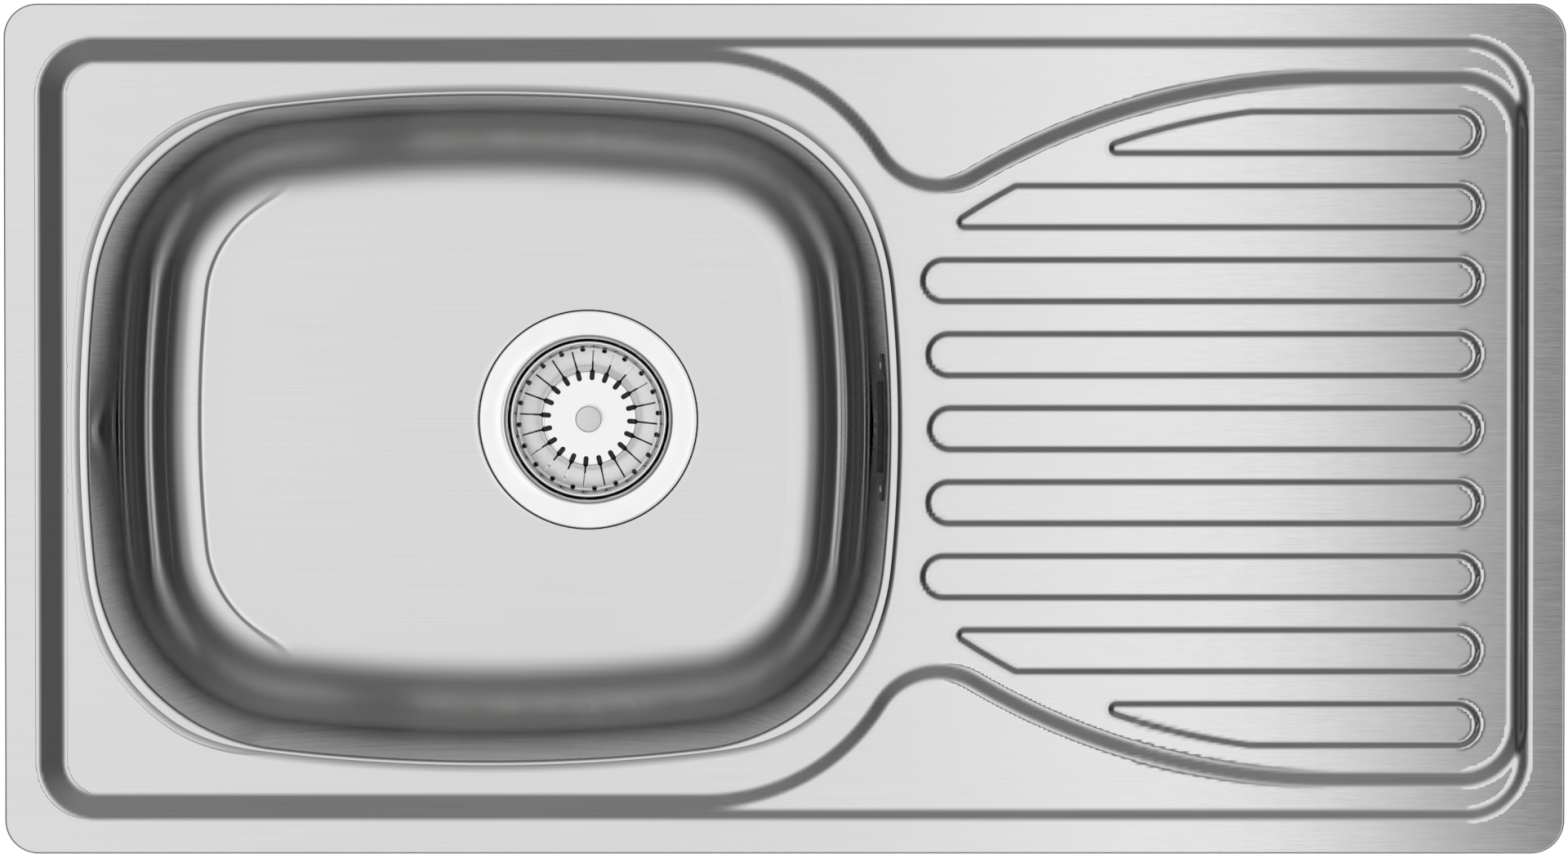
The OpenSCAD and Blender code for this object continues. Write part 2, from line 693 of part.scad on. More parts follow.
// A closed tube of loops, each with as many points, in triangles
module looped_solid(loops) {
    n = len(loops[0]);
    count = len(loops);
    polyhedron(
        points = [for (loop = loops) each loop],
        faces = [for (i = [0:count - 1]) for (j = [0:n - 1])
            let(
                a = i * n + j,
                b = i * n + (j + 1) % n,
                c = ((i + 1) % count) * n + (j + 1) % n,
                d = ((i + 1) % count) * n + j
            )
            each [[a, b, c], [a, c, d]]]
    );
}

// The bowl's sheet between two of its loops
module bowl_sheet(first, last) {
    looped_solid(concat([for (i = [first:last]) upper_loops[i]], [for (i = [last:-1:first]) lower_loops[i]]));
}

// The bowl is one pressing, drawn as two nodes that meet at the foot of its walls. The collision pieces
// follow straight walls and a shallow floor more closely than they follow a whole bowl.
module bowl() {
    color(STEEL) difference() {
        bowl_sheet(0, foot_index);
        for (i = [0:overflow_count - 1]) on_overflow_wall()
            translate([0, (i - (overflow_count - 1) / 2) * overflow_pitch, 0]) overflow_slot();
    }
}

module bowl_floor() {
    color(STEEL) difference() {
        bowl_sheet(foot_index, len(upper_loops) - 1);
        translate([waste_x, 0, recess_z - sheet - over]) cylinder(h = sheet + 2 * over, r = waste_hole);
    }
}

// Moves its children to the overflow's frame
module on_overflow_wall() {
    translate([overflow_x + overflow_face, 0, overflow_z]) rotate([0, wall_slope, 0]) children();
}

module overflow_slot() {
    r = overflow_slot_width / 2;
    straight = overflow_slot_height / 2 - r;
    reach = 4;
    translate([-reach, -r, -straight]) cube([2 * reach, 2 * r, 2 * straight]);
    for (side = [-1, 1]) translate([-reach, 0, side * straight]) rotate([0, 90, 0])
        cylinder(h = 2 * reach, r = r);
}

module rim_seal() {
    outer = 2.4;
    inner = 9.4;
    color(RUBBER) linear_extrude(rim_under) difference() {
        rounded_plate(half_l - outer, half_w - outer, corner_radius - outer);
        rounded_plate(half_l - inner, half_w - inner, corner_radius - inner);
    }
}

// The pad follows the underside of the bowl's floor
module sound_pad() {
    margin = 0.25;
    outer = between(floor_loop, half_floor, margin);
    outer_z = floor_edge_z - sheet - floor_fall / 2 * margin - glue_film;
    inner_z = floor_edge_z - sheet - floor_fall / 2 - glue_film;
    loops = [
        raised(outer, outer_z),
        raised(half_floor, inner_z),
        raised(half_floor, inner_z - pad_height),
        raised(outer, outer_z - pad_height)
    ];
    color("darkslategray") looped_solid(loops);
}

// An angle under the raised field, with a hole for the earth wire's screw
module earth_tag() {
    width = 12;
    foot = 16;
    drop = 17;
    thick = 1.2;
    screw = 2.6;
    inset = 24;
    along = 0.65;
    place = [crest_x - along * crest_run, inner_side - inset, field_z - sheet];
    color(ZINC) translate(place) difference() {
        union() {
            translate([-width / 2, 0, -thick]) cube([width, foot, thick]);
            translate([-width / 2, 0, -drop]) cube([width, thick, drop]);
        }
        translate([0, -1, width / 2 - drop]) rotate([-90, 0, 0]) cylinder(h = thick + 2, r = screw);
    }
}

module at_waste() {
    translate([waste_x, 0, recess_z]) children();
}

module strainer_cup() {
    low = cup_foot - over;
    high = cup_sheet + 2 * over;
    color(POLISHED) at_waste() difference() {
        rotate_extrude() polygon(sheet_section(cup_path, cup_sheet));
        translate([0, 0, low]) cylinder(h = high, r = clamp_screw_radius + loose_gap);
        for (i = [0:outlet_count - 1]) rotate([0, 0, i * 360 / outlet_count])
            translate([outlet_circle, 0, low]) cylinder(h = high, r = outlet_hole);
    }
}

// A flat ring round the waste's axis
module ring(inner, outer, z, height) {
    translate([0, 0, z]) difference() {
        cylinder(h = height, r = outer);
        translate([0, 0, -1]) cylinder(h = height + 2, r = inner);
    }
}

module flange_gasket() {
    color(RUBBER) at_waste() ring(cup_radius + 4.6, flange_radius - 4.4, 0, flange_gasket_height);
}

module lower_gasket() {
    color(RUBBER) at_waste() ring(waste_hole + 0.8, waste_flange, -sheet - lower_gasket_height,
        lower_gasket_height);
}

module clamp_screw() {
    head = clamp_screw_radius + 3;
    slit = 1.6;
    color(ZINC) at_waste() difference() {
        union() {
            translate([0, 0, -cup_depth]) cylinder(h = clamp_head, r = head);
            translate([0, 0, boss_foot + 2]) cylinder(h = -cup_depth - boss_foot, r = clamp_screw_radius);
        }
        translate([-head - 1, -slit / 2, -cup_depth + clamp_head - slit])
            cube([2 * head + 2, slit, 2 * slit]);
    }
}

module waste_body() {
    flange = 4;
    outer = waste_inner + waste_wall;
    color(PLASTIC) at_waste() difference() {
        union() {
            translate([0, 0, waste_top - flange]) cylinder(h = flange, r = waste_flange);
            translate([0, 0, cone_top]) cylinder(h = waste_top - cone_top - flange, r = outer);
            translate([0, 0, cone_foot]) cylinder(h = cone_top - cone_foot, r1 = spigot_radius, r2 = outer);
            translate([0, 0, spigot_foot]) cylinder(h = spigot_length, r = spigot_radius);
            translate([0, 0, -port_depth]) rotate([0, 90, 0])
                cylinder(h = outer + port_length, r = port_radius);
        }
        difference() {
            waste_hollow();
            waste_spider();
        }
        translate([waste_inner - over, 0, -port_depth]) rotate([0, 90, 0])
            cylinder(h = waste_wall + port_length + 2 * over, r = pipe_radius - pipe_wall);
        translate([outer + port_length - insert, 0, -port_depth]) rotate([0, 90, 0])
            cylinder(h = insert + over, r = pipe_radius + running_gap);
        translate([0, 0, boss_foot - over])
            cylinder(h = boss_length + 2 * over, r = clamp_screw_radius + running_gap);
    }
}

module waste_hollow() {
    inner = spigot_radius - waste_wall;
    join = 0.01;
    translate([0, 0, cone_top]) cylinder(h = over - cone_top, r = waste_inner);
    translate([0, 0, cone_foot]) cylinder(h = cone_top - cone_foot + join, r1 = inner, r2 = waste_inner);
    translate([0, 0, spigot_foot - over]) cylinder(h = spigot_length + over + join, r = inner);
}

// The threaded boss for the clamp screw, on three arms
module waste_spider() {
    translate([0, 0, boss_foot]) cylinder(h = boss_length, r = boss_radius);
    for (a = [60, 180, 300]) rotate([0, 0, a]) translate([0, -waste_wall / 2, boss_foot])
        cube([waste_inner + waste_wall / 2, waste_wall, 0.8 * boss_length]);
}

module basket_shell() {
    color(POLISHED) at_waste() difference() {
        rotate_extrude() polygon(sheet_section(basket_path, basket_sheet));
        for (i = [0:slot_count - 1]) {
            rotate([0, 0, slot_turn + i * 360 / slot_count]) basket_slot();
            rotate([0, 0, slot_turn + (i + 0.5) * 360 / slot_count])
                translate([hole_circle, 0, floor_under - over])
                    cylinder(h = basket_depth + 2 * over, r = small_hole);
        }
    }
}

module basket_slot() {
    start = slot_start + slot_width / 2;
    low = floor_under - over;
    translate([start, -slot_width / 2, low])
        cube([slot_end - start, slot_width, basket_depth + 2 * over]);
    translate([start, 0, low]) cylinder(h = basket_depth / 3, r = slot_width / 2);
}

module basket_knob() {
    color(POLISHED) at_waste() difference() {
        rotate_extrude() polygon([
            [0, basket_floor_z],
            [knob_radius - 0.6, basket_floor_z],
            [knob_radius - 0.6, basket_floor_z + 2],
            [knob_radius, basket_floor_z + 3],
            [knob_radius, basket_floor_z + knob_height - 0.6],
            [knob_radius - 0.6, basket_floor_z + knob_height],
            [0, basket_floor_z + knob_height]
        ]);
        translate([0, 0, basket_floor_z - over])
            cylinder(h = head_floor - basket_floor_z + 1.5 * over, r = stem_radius + running_gap);
        translate([0, 0, head_floor]) cylinder(h = head_height + 2 * seat_gap, r = stem_head + running_gap);
    }
}

// The stem's head turns in the knob, and the basket's floor stands on its collar
module basket_stem() {
    color(ZINC) at_waste() {
        translate([0, 0, head_floor + seat_gap]) cylinder(h = head_height, r = stem_head);
        translate([0, 0, stem_foot]) cylinder(h = head_floor + head_height / 2 - stem_foot, r = stem_radius);
        translate([0, 0, stopper_top]) cylinder(h = collar_height, r = stem_collar);
    }
}

module basket_stopper() {
    lip = 2;
    taper = 5;
    disc_foot = stopper_top - stopper_disc;
    color(RUBBER) at_waste() rotate_extrude() polygon([
        [stem_radius, disc_foot],
        [stem_radius, stopper_top],
        [stopper_radius - taper, stopper_top],
        [stopper_radius, stopper_foot + lip / 2],
        [stopper_radius, stopper_foot],
        [stopper_radius - lip, stopper_foot],
        [stopper_radius - taper - lip, disc_foot]
    ]);
}

module stem_nut() {
    color(ZINC) at_waste() ring(stem_radius, stem_radius + 2.6, stopper_top - stopper_disc - stem_nut_height,
        stem_nut_height);
}

// A block behind the overflow slots, smaller all round by inset
module box_block(x0, x1, inset) {
    translate([x0, inset - box_half, inset - box_foot])
        cube([x1 - x0, 2 * (box_half - inset), box_foot + box_top - 2 * inset]);
}

// The gasket and the box have ears for the studs
module overflow_plate(thickness) {
    box_block(0, thickness, 0);
    translate([0, -stud_side, -ear_radius]) cube([thickness, 2 * stud_side, 2 * ear_radius]);
    for (side = [-1, 1]) translate([0, side * stud_side, 0]) rotate([0, 90, 0])
        cylinder(h = thickness, r = ear_radius);
}

module stud_holes(length) {
    for (side = [-1, 1]) translate([-over, side * stud_side, 0]) rotate([0, 90, 0])
        cylinder(h = length + 2 * over, r = stud_radius + loose_gap);
}

// The gasket fills the room between the flat box and the bulging wall
module overflow_gasket() {
    side = stud_side + ear_radius + over;
    fall = wall_fall * side;
    color(RUBBER) on_overflow_wall() difference() {
        translate([-fall, 0, 0]) overflow_plate(overflow_gasket_height + fall);
        translate([0, 0, -box_foot - over]) linear_extrude(box_foot + box_top + 2 * over)
            polygon([[0, 0], [-fall, side], [-fall - over, side], [-fall - over, -side], [-fall, -side]]);
        box_block(-fall - over, overflow_gasket_height + over, box_wall + 1);
        stud_holes(overflow_gasket_height);
    }
}

module overflow_box() {
    color(PLASTIC) on_overflow_wall() translate([overflow_gasket_height, 0, 0]) difference() {
        union() {
            overflow_plate(box_flange);
            box_block(0, box_depth, 0);
            at_socket() cylinder(h = socket_length + box_wall, r = port_radius);
        }
        box_block(-over, box_depth - box_wall, box_wall);
        stud_holes(box_flange);
        at_socket() translate([0, 0, -over])
            cylinder(h = socket_length + box_wall + 2 * over, r = pipe_radius - pipe_wall);
        at_socket() translate([0, 0, -over]) cylinder(h = insert + over, r = pipe_radius + running_gap);
    }
}

module at_socket() {
    translate([socket_axis - overflow_gasket_height, 0, -box_foot - socket_length]) children();
}

// The studs are welded to the wall, with their feet a little way into it
module overflow_studs() {
    foot = -wall_fall * stud_side - stud_weld;
    color(ZINC) on_overflow_wall() for (side = [-1, 1]) translate([foot, side * stud_side, 0])
        rotate([0, 90, 0]) cylinder(h = stud_length, r = stud_radius);
}

module overflow_nuts() {
    height = 3.2;
    floor_x = overflow_gasket_height + box_flange;
    color(ZINC) on_overflow_wall() for (side = [-1, 1])
        translate([floor_x, side * stud_side, 0]) rotate([0, 90, 0]) difference() {
            cylinder(h = height, r = 4, $fn = 6);
            translate([0, 0, -over]) cylinder(h = height + 2 * over, r = stud_radius);
        }
}

// The pipe runs down from the box along the bowl's wall and bends to the waste body's port
module overflow_pipe() {
    color(PLASTIC) difference() {
        pipe_body(pipe_radius, pipe_radius + elbow_wall, 0);
        pipe_body(pipe_radius - pipe_wall, pipe_radius - pipe_wall - elbow_wall, over);
    }
}

// Two straight lengths that reach a little into the elbow between them
module pipe_body(r, elbow_r, extra) {
    reach = 1;
    translate([pipe_top.x, 0, pipe_top.y]) rotate([0, wall_slope, 0]) translate([0, 0, -pipe_run - reach])
        cylinder(h = pipe_run + reach + extra, r = r);
    translate([bend_x, 0, port_z + pipe_bend]) rotate([90, 0, 0]) rotate([0, 0, -90])
        rotate_extrude(angle = 90 - wall_slope) translate([pipe_bend, 0]) circle(elbow_r);
    translate([port_end - insert - extra, 0, port_z]) rotate([0, 90, 0])
        cylinder(h = bend_x - port_end + insert + extra + reach, r = r);
}

// Moves its children to the ends of the port and of the box's socket, z along the pipe
module at_unions() {
    translate([port_end, 0, port_z]) rotate([0, 90, 0]) children();
    translate([pipe_top.x, 0, pipe_top.y]) rotate([0, wall_slope, 0]) translate([0, 0, -insert])
        rotate([180, 0, 0]) children();
}

module union_nuts() {
    hollow = seal_height + loose_gap;
    lid = 3;
    grips = 12;
    groove = 1.6;
    color(PLASTIC) at_unions() difference() {
        translate([0, 0, lid + hollow - union_length]) cylinder(h = union_length, r = union_radius);
        translate([0, 0, -union_length]) cylinder(h = union_length + hollow, r = port_radius + running_gap);
        cylinder(h = hollow + lid + over, r = pipe_radius + loose_gap);
        for (i = [0:grips - 1]) rotate([0, 0, i * 360 / grips])
            translate([union_radius + groove / 3, 0, -union_length])
                cylinder(h = 2 * union_length, r = groove);
    }
}

module pipe_seals() {
    color(RUBBER) at_unions() ring(pipe_radius, port_radius - loose_gap, 0, seal_height);
}

// Moves its children to a clip: x along the stowed claw, y outwards
module at_clip(clip) {
    translate([clip[1], clip[2], 0]) rotate([0, 0, clip[3] - 90]) mirror([clip[4] < 0 ? 1 : 0, 0, 0])
        children();
}

module clip_bracket(top) {
    foot = -nut_depth - strip;
    flange = web_inset + strip + bracket_reach;
    difference() {
        union() {
            translate([-strip_width / 2, -web_inset - strip, top - strip])
                cube([strip_width, flange, strip]);
            translate([-strip_width / 2, -web_inset - strip, foot]) cube([strip_width, strip, top - foot]);
            translate([-strip_width / 2, -web_inset - strip, foot]) cube([strip_width, flange, strip]);
            translate([0, 0, foot + strip]) cylinder(h = weld_nut_height, r = 5.6, $fn = 6);
        }
        translate([0, 0, foot - 1]) cylinder(h = weld_nut_height + strip + 2, r = screw_hole);
    }
}

module clip_brackets() {
    color(ZINC) for (clip = CLIPS) at_clip(clip) clip_bracket(strip_top(clip));
}

module clip_screw(clip) {
    head_radius = 5.6;
    slot_width = 1.4;
    slot_depth = 1.6;
    slot_reach = head_radius + over;
    color(ZINC) at_clip(clip) difference() {
        union() {
            translate([0, 0, head_z]) cylinder(h = head_height_clip, r = head_radius, $fn = 6);
            translate([0, 0, head_z + 1]) cylinder(h = screw_tip - head_z - 1, r = screw_radius);
        }
        translate([-slot_reach, -slot_width / 2, head_z - over])
            cube([2 * slot_reach, slot_width, over + slot_depth]);
    }
}

module clip_washer(clip) {
    color(ZINC) at_clip(clip) ring(screw_hole, 6.4, washer_z, washer_height);
}

module clip_claw(clip) {
    teeth = 3;
    color(ZINC) at_clip(clip) difference() {
        union() {
            translate([0, 0, claw_z]) cylinder(h = claw_sheet, r = eye_radius);
            translate([0, -claw_width / 2, claw_z]) cube([claw_reach, claw_width, claw_sheet]);
            translate([claw_reach - claw_sheet, -claw_width / 2, claw_z])
                cube([claw_sheet, claw_width, claw_sheet + claw_tip]);
            translate([claw_rib_start, -claw_sheet, claw_z])
                cube([claw_reach - claw_rib_start - claw_sheet / 2, 2 * claw_sheet, 1.7 * claw_sheet]);
        }
        translate([0, 0, claw_z - 1]) cylinder(h = claw_sheet + 2, r = screw_hole);
        for (i = [1:teeth]) translate([claw_reach - claw_sheet - 1,
            (i - (teeth + 1) / 2) * claw_width / teeth, claw_z + claw_sheet + claw_tip])
            rotate([0, 90, 0]) rotate([0, 0, 45]) translate([-0.9, -0.9, 0]) cube([1.8, 1.8, claw_sheet + 2]);
    }
}

deck();
bowl();
bowl_floor();
rim_seal();
sound_pad();
earth_tag();
strainer_cup();
flange_gasket();
lower_gasket();
waste_body();
clamp_screw();
basket_shell();
basket_knob();
basket_stem();
basket_stopper();
stem_nut();
overflow_gasket();
overflow_box();
overflow_studs();
overflow_nuts();
overflow_pipe();
union_nuts();
pipe_seals();
clip_brackets();
for (clip = CLIPS) {
    clip_screw(clip);
    clip_washer(clip);
    clip_claw(clip);
}
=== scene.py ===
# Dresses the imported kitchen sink: fine meshes for the pressed deck, the drawn bowl and the strainer, brushed
# and polished steel, plastic and rubber, a pale floor, soft light and the camera over the sink. Lengths
# here are in millimetres in the part's own frame and become metres in the meshes.
import json
import math

import bpy
import numpy as np
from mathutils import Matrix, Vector, geometry


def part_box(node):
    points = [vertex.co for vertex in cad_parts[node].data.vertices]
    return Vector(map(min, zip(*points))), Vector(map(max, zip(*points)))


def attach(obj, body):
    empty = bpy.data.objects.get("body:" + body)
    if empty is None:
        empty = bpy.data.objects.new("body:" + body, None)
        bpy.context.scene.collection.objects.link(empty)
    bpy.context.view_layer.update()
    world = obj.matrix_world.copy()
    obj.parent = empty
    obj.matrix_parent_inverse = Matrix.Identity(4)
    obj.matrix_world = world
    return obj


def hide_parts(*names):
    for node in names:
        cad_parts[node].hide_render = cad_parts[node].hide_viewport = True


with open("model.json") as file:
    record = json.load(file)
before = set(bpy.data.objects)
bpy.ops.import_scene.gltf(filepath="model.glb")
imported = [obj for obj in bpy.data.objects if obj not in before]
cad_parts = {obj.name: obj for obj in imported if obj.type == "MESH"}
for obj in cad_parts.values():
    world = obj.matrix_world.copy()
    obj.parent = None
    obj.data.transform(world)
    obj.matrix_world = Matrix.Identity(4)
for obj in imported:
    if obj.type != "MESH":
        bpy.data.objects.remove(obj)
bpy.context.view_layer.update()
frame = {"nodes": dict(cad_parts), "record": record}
nodes = frame["nodes"]

MM = 0.001

# The part's own sizes, with the ledge, the drainer's right end, the bowl's section and the strainer
# fitted closer to the photo
HALF_L, HALF_W = 390.0, 212.5
RIM_Z, FIELD_DROP, FLOOR_DROP, SHEET = 3.0, 3.2, 4.3, 0.8
FLOOR_Z = RIM_Z - FIELD_DROP - FLOOR_DROP
CORNER_R, EDGE_R, EDGE_FOOT = 17.0, 1.4, 0.3
RIM_FLAT, RIM_FLAT_RIGHT, LEDGE_RUN, WAVE_RUN = 17.0, 18.2, 5.5, 7.4
LEDGE_R_LEFT, LEDGE_R_RIGHT = 29.0, 31.0
INNER_X, INNER_Y = HALF_L - RIM_FLAT - LEDGE_RUN, HALF_W - RIM_FLAT - LEDGE_RUN
DRAINER_X = 370.0
SURROUND_RIGHT, SURROUND_R = 67.0, 107.0
DRAINER_HALF, DRAINER_R, CREST_X, CREST_R = 179.0, 32.0, 275.0, 359.87
TIP_R = 31.0
RIB_COUNT, RIB_PITCH, RIB_HALF, RIB_RUN, RIB_HEIGHT, RIB_SHOULDER = 9, 37.0, 11.75, 2.8, 2.3, 0.2
RIB_START, RIB_BOW, RIB_RIGHT, RIB_TIP = 71.0, 0.85, 348.0, 4.0
RIB_GAP = 9.3
RIB_TRIM = CREST_R - WAVE_RUN - RIB_GAP
FILLET, RIB_FILLET, SHOULDER_FILLET, SHOULDER_REACH = 1.5, 0.9, 1.0, 1.4

BOWL_X, BOWL_HALF_L, BOWL_HALF_W = -148.0, 201.5, 167.5
END_BULGE, SIDE_BULGE, BOWL_CORNER = 680.0, 920.0, 102.0
BOWL_DEPTH, WALL_SLOPE, FLOOR_FALL = 147.5, math.radians(4.5), 1.5
FLOOR_BEND, WIDE_BEND, BEND_CHANGE = 32.0, 55.0, math.radians(35)
FOOT_BEND, FOOT_TILT, FLOOR_TILT = 60.0, math.radians(5), math.radians(0.7)
BEVEL_OUT, BEVEL_DROP, BEVEL_CURVE = 9.0, 1.4, 1.6
BEVEL_LEDGE, CORNER_LEDGE, END_LEDGE, BEVEL_STEP, RIGHT_STEP = 0.35, 3.4, 1.2, 4.5, 1.7
NECK_R, NECK_OUT, NECK_TILT = 2.4, 0.6, 0.05
WASTE_X, WASTE_HOLE, RECESS_DEPTH = -101.0, 46.5, 2.5
DISH_R, DISH_DROP, STEP_R = 63.0, 0.10, 56.7
RECESS_Z = FLOOR_Z - BOWL_DEPTH - FLOOR_FALL - RECESS_DEPTH
CUP_DEPTH, OUTLET_CIRCLE, OUTLET_HOLE, CLAMP_HOLE = 36.0, 15.5, 4.5, 4.2
SLOT_TURN, SLOT_START, SLOT_END, SLOT_WIDE = 13.8, 19.6, 35.4, 2.6
SLOT_BEND, WALL_SLOT = 24.4, 0.9
HOLE_CIRCLE, SMALL_HOLE, STEM_HOLE = 35.8, 1.3, 3.1
CUP_SHEET, BASKET_SHEET = 0.9, 0.7
OVERFLOW_COUNT, OVERFLOW_PITCH, OVERFLOW_Z = 5, 9.8, -28.5
SLOT_HALF_W, SLOT_HALF_H, SLOT_MARGIN = 2.4, 4.5, 2.0

# How much coarser the deck's underside is, how far its grid stays from the bowl, half the width of a closed
# slot's or hole's column in the basket, and the angle from which an edge stays crisp
UNDER_GRID, LOOP_GAP, CLOSED, CREASE = 2.8, 1.4, 0.15, math.radians(40)


def meeting(c1, r1, c2, r2):
    """The upper one of the two points at the distances r1 and r2 from the points c1 and c2."""
    c1, c2 = np.array(c1, float), np.array(c2, float)
    apart = np.linalg.norm(c2 - c1)
    along = (r1 * r1 - r2 * r2 + apart * apart) / (2 * apart)
    across = math.sqrt(r1 * r1 - along * along)
    u = (c2 - c1) / apart
    return c1 + along * u + across * np.array([-u[1], u[0]])


SURROUND_C = np.array([SURROUND_RIGHT - SURROUND_R, INNER_Y - SURROUND_R])
CREST_C = np.array([CREST_X, DRAINER_HALF - CREST_R])
TIP_C = meeting(SURROUND_C, SURROUND_R + TIP_R, CREST_C, CREST_R + TIP_R)


def heading(vector):
    return math.atan2(vector[1], vector[0])


# The wave's upper edge for y above 0, as arcs (centre, radius, first and last angle) and lines (two ends)
WAVE_ARCS = [
    ((-INNER_X + LEDGE_R_LEFT - LEDGE_RUN, INNER_Y - LEDGE_R_LEFT + LEDGE_RUN), LEDGE_R_LEFT - LEDGE_RUN,
     math.pi, math.pi / 2),
    (tuple(SURROUND_C), SURROUND_R, math.pi / 2, heading(TIP_C - SURROUND_C)),
    (tuple(TIP_C), TIP_R, heading(SURROUND_C - TIP_C), heading(CREST_C - TIP_C)),
    (tuple(CREST_C), CREST_R, heading(TIP_C - CREST_C), math.pi / 2),
    ((DRAINER_X - DRAINER_R, DRAINER_HALF - DRAINER_R), DRAINER_R, math.pi / 2, 0.0),
]
WAVE_LINES = [
    ((-INNER_X, 0.0), (-INNER_X, INNER_Y - LEDGE_R_LEFT + LEDGE_RUN)),
    ((-INNER_X + LEDGE_R_LEFT - LEDGE_RUN, INNER_Y), (SURROUND_C[0], INNER_Y)),
    ((CREST_X, DRAINER_HALF), (DRAINER_X - DRAINER_R, DRAINER_HALF)),
    ((DRAINER_X, DRAINER_HALF - DRAINER_R), (DRAINER_X, 0.0)),
]


def wave_outline():
    """The upper half of the wave's edge as one polygon, for telling inside from outside."""
    points = [(-INNER_X, -1.0)]
    for centre, radius, a0, a1 in WAVE_ARCS:
        for t in np.linspace(0, 1, 90):
            a = a0 + (a1 - a0) * t
            points.append((centre[0] + radius * math.cos(a), centre[1] + radius * math.sin(a)))
    points.append((DRAINER_X, -1.0))
    return np.array(points)


def inside_polygon(x, y, polygon):
    inside = np.zeros(np.shape(x), bool)
    x1, y1 = polygon[-1]
    for x2, y2 in polygon:
        if y1 != y2:
            crosses = ((y1 > y) != (y2 > y)) & (x < (x2 - x1) * (y - y1) / (y2 - y1) + x1)
            inside ^= crosses
        x1, y1 = x2, y2
    return inside


def turned_between(angle, a0, a1):
    """Whether an angle lies on the short arc from a0 to a1, which runs clockwise where a1 is less."""
    low, span = (a1, a0 - a1) if a1 < a0 else (a0, a1 - a0)
    return np.mod(angle - low, 2 * math.pi) <= span


def wave_depth(x, y):
    """The distance from the wave's upper edge, positive on the side that is pressed down."""
    y = np.abs(y)
    near = np.full(np.shape(x), 1e9)
    for centre, radius, a0, a1 in WAVE_ARCS:
        dx, dy = x - centre[0], y - centre[1]
        out = np.hypot(dx, dy)
        on = turned_between(np.arctan2(dy, dx), a0, a1)
        near = np.where(on, np.minimum(near, np.abs(out - radius)), near)
    for (xa, ya), (xb, yb) in WAVE_LINES:
        length = math.hypot(xb - xa, yb - ya)
        t = np.clip(((x - xa) * (xb - xa) + (y - ya) * (yb - ya)) / length ** 2, 0, 1)
        near = np.minimum(near, np.hypot(x - xa - t * (xb - xa), y - ya - t * (yb - ya)))
    return np.where(inside_polygon(x, y, WAVE_POLYGON), near, -near)


WAVE_POLYGON = wave_outline()


def rounded_depth(x, y, half_x, half_y, r_left, r_right):
    """The distance inside a rounded rectangle, negative outside."""
    r = np.where(x < 0, r_left, r_right)
    qx, qy = np.abs(x) - half_x + r, np.abs(y) - half_y + r
    return r - np.hypot(np.maximum(qx, 0), np.maximum(qy, 0)) - np.minimum(np.maximum(qx, qy), 0)


def rib_tip(number):
    """The centre of the small arc at the pointed end of a rib that is trimmed along the crest."""
    y = number * RIB_PITCH - RIB_HALF + RIB_TIP
    return CREST_X - math.sqrt((RIB_TRIM - RIB_TIP) ** 2 - (y - CREST_C[1]) ** 2), y


def rib_depth(x, y):
    """The distance inside the nearest rib, negative outside."""
    y = np.abs(y)
    best = np.full(np.shape(x), -1e9)
    for number in range((RIB_COUNT + 1) // 2):
        middle = number * RIB_PITCH
        left = RIB_START - RIB_BOW * number * number + RIB_HALF
        along = np.clip(x, left, RIB_RIGHT - RIB_HALF)
        depth = RIB_HALF - np.hypot(x - along, y - middle)
        reach = math.hypot(left - CREST_C[0], middle - CREST_C[1]) + RIB_HALF
        if reach >= RIB_TRIM:
            from_centre = np.hypot(np.minimum(x - CREST_C[0], 0), y - CREST_C[1])
            depth = np.minimum(depth, RIB_TRIM - from_centre)
            tip_x, tip_y = rib_tip(number)
            out = np.array([tip_x, tip_y]) - CREST_C
            out = out / np.linalg.norm(out)
            vx, vy = x - tip_x, y - tip_y
            corner = (vx <= 0) & (vx * out[1] - vy * out[0] <= 0)
            if tip_x > left:
                depth = np.where(corner, RIB_TIP - np.hypot(vx, vy), depth)
        best = np.maximum(best, depth)
    return best


def eased(u, a):
    """0 below -a, u above a, and a smooth bend between."""
    return np.where(u < -a, 0.0, np.where(u > a, u, (u + a) ** 2 / (4 * a)))


def ramp(depth, run, a):
    """0 at an edge and 1 from run behind it, with both ends of the slope rounded."""
    return (eased(depth, a) - eased(depth - run, a)) / run


def deck_height(x, y):
    """The deck's upper face: the rim, the ledge down to the field, the wave down to the drainer, the ribs."""
    shift = (RIM_FLAT_RIGHT - RIM_FLAT) / 2
    ledge = rounded_depth(x + shift, y, HALF_L - RIM_FLAT - shift, HALF_W - RIM_FLAT, LEDGE_R_LEFT,
                          LEDGE_R_RIGHT)
    rib = rib_depth(x, y)
    shoulder = RIB_SHOULDER * ramp(rib + SHOULDER_REACH, RIB_RUN + 2 * SHOULDER_REACH, SHOULDER_FILLET)
    return (RIM_Z - FIELD_DROP * ramp(ledge, LEDGE_RUN, FILLET)
            - FLOOR_DROP * ramp(wave_depth(x, y), WAVE_RUN, FILLET)
            + (RIB_HEIGHT - RIB_SHOULDER) * ramp(rib, RIB_RUN, RIB_FILLET) + shoulder)


def deck_normals(x, y):
    step = 0.04
    slope_x = (deck_height(x + step, y) - deck_height(x - step, y)) / (2 * step)
    slope_y = (deck_height(x, y + step) - deck_height(x, y - step)) / (2 * step)
    normals = np.stack([-slope_x, -slope_y, np.ones_like(slope_x)], axis=-1)
    return normals / np.linalg.norm(normals, axis=-1, keepdims=True)


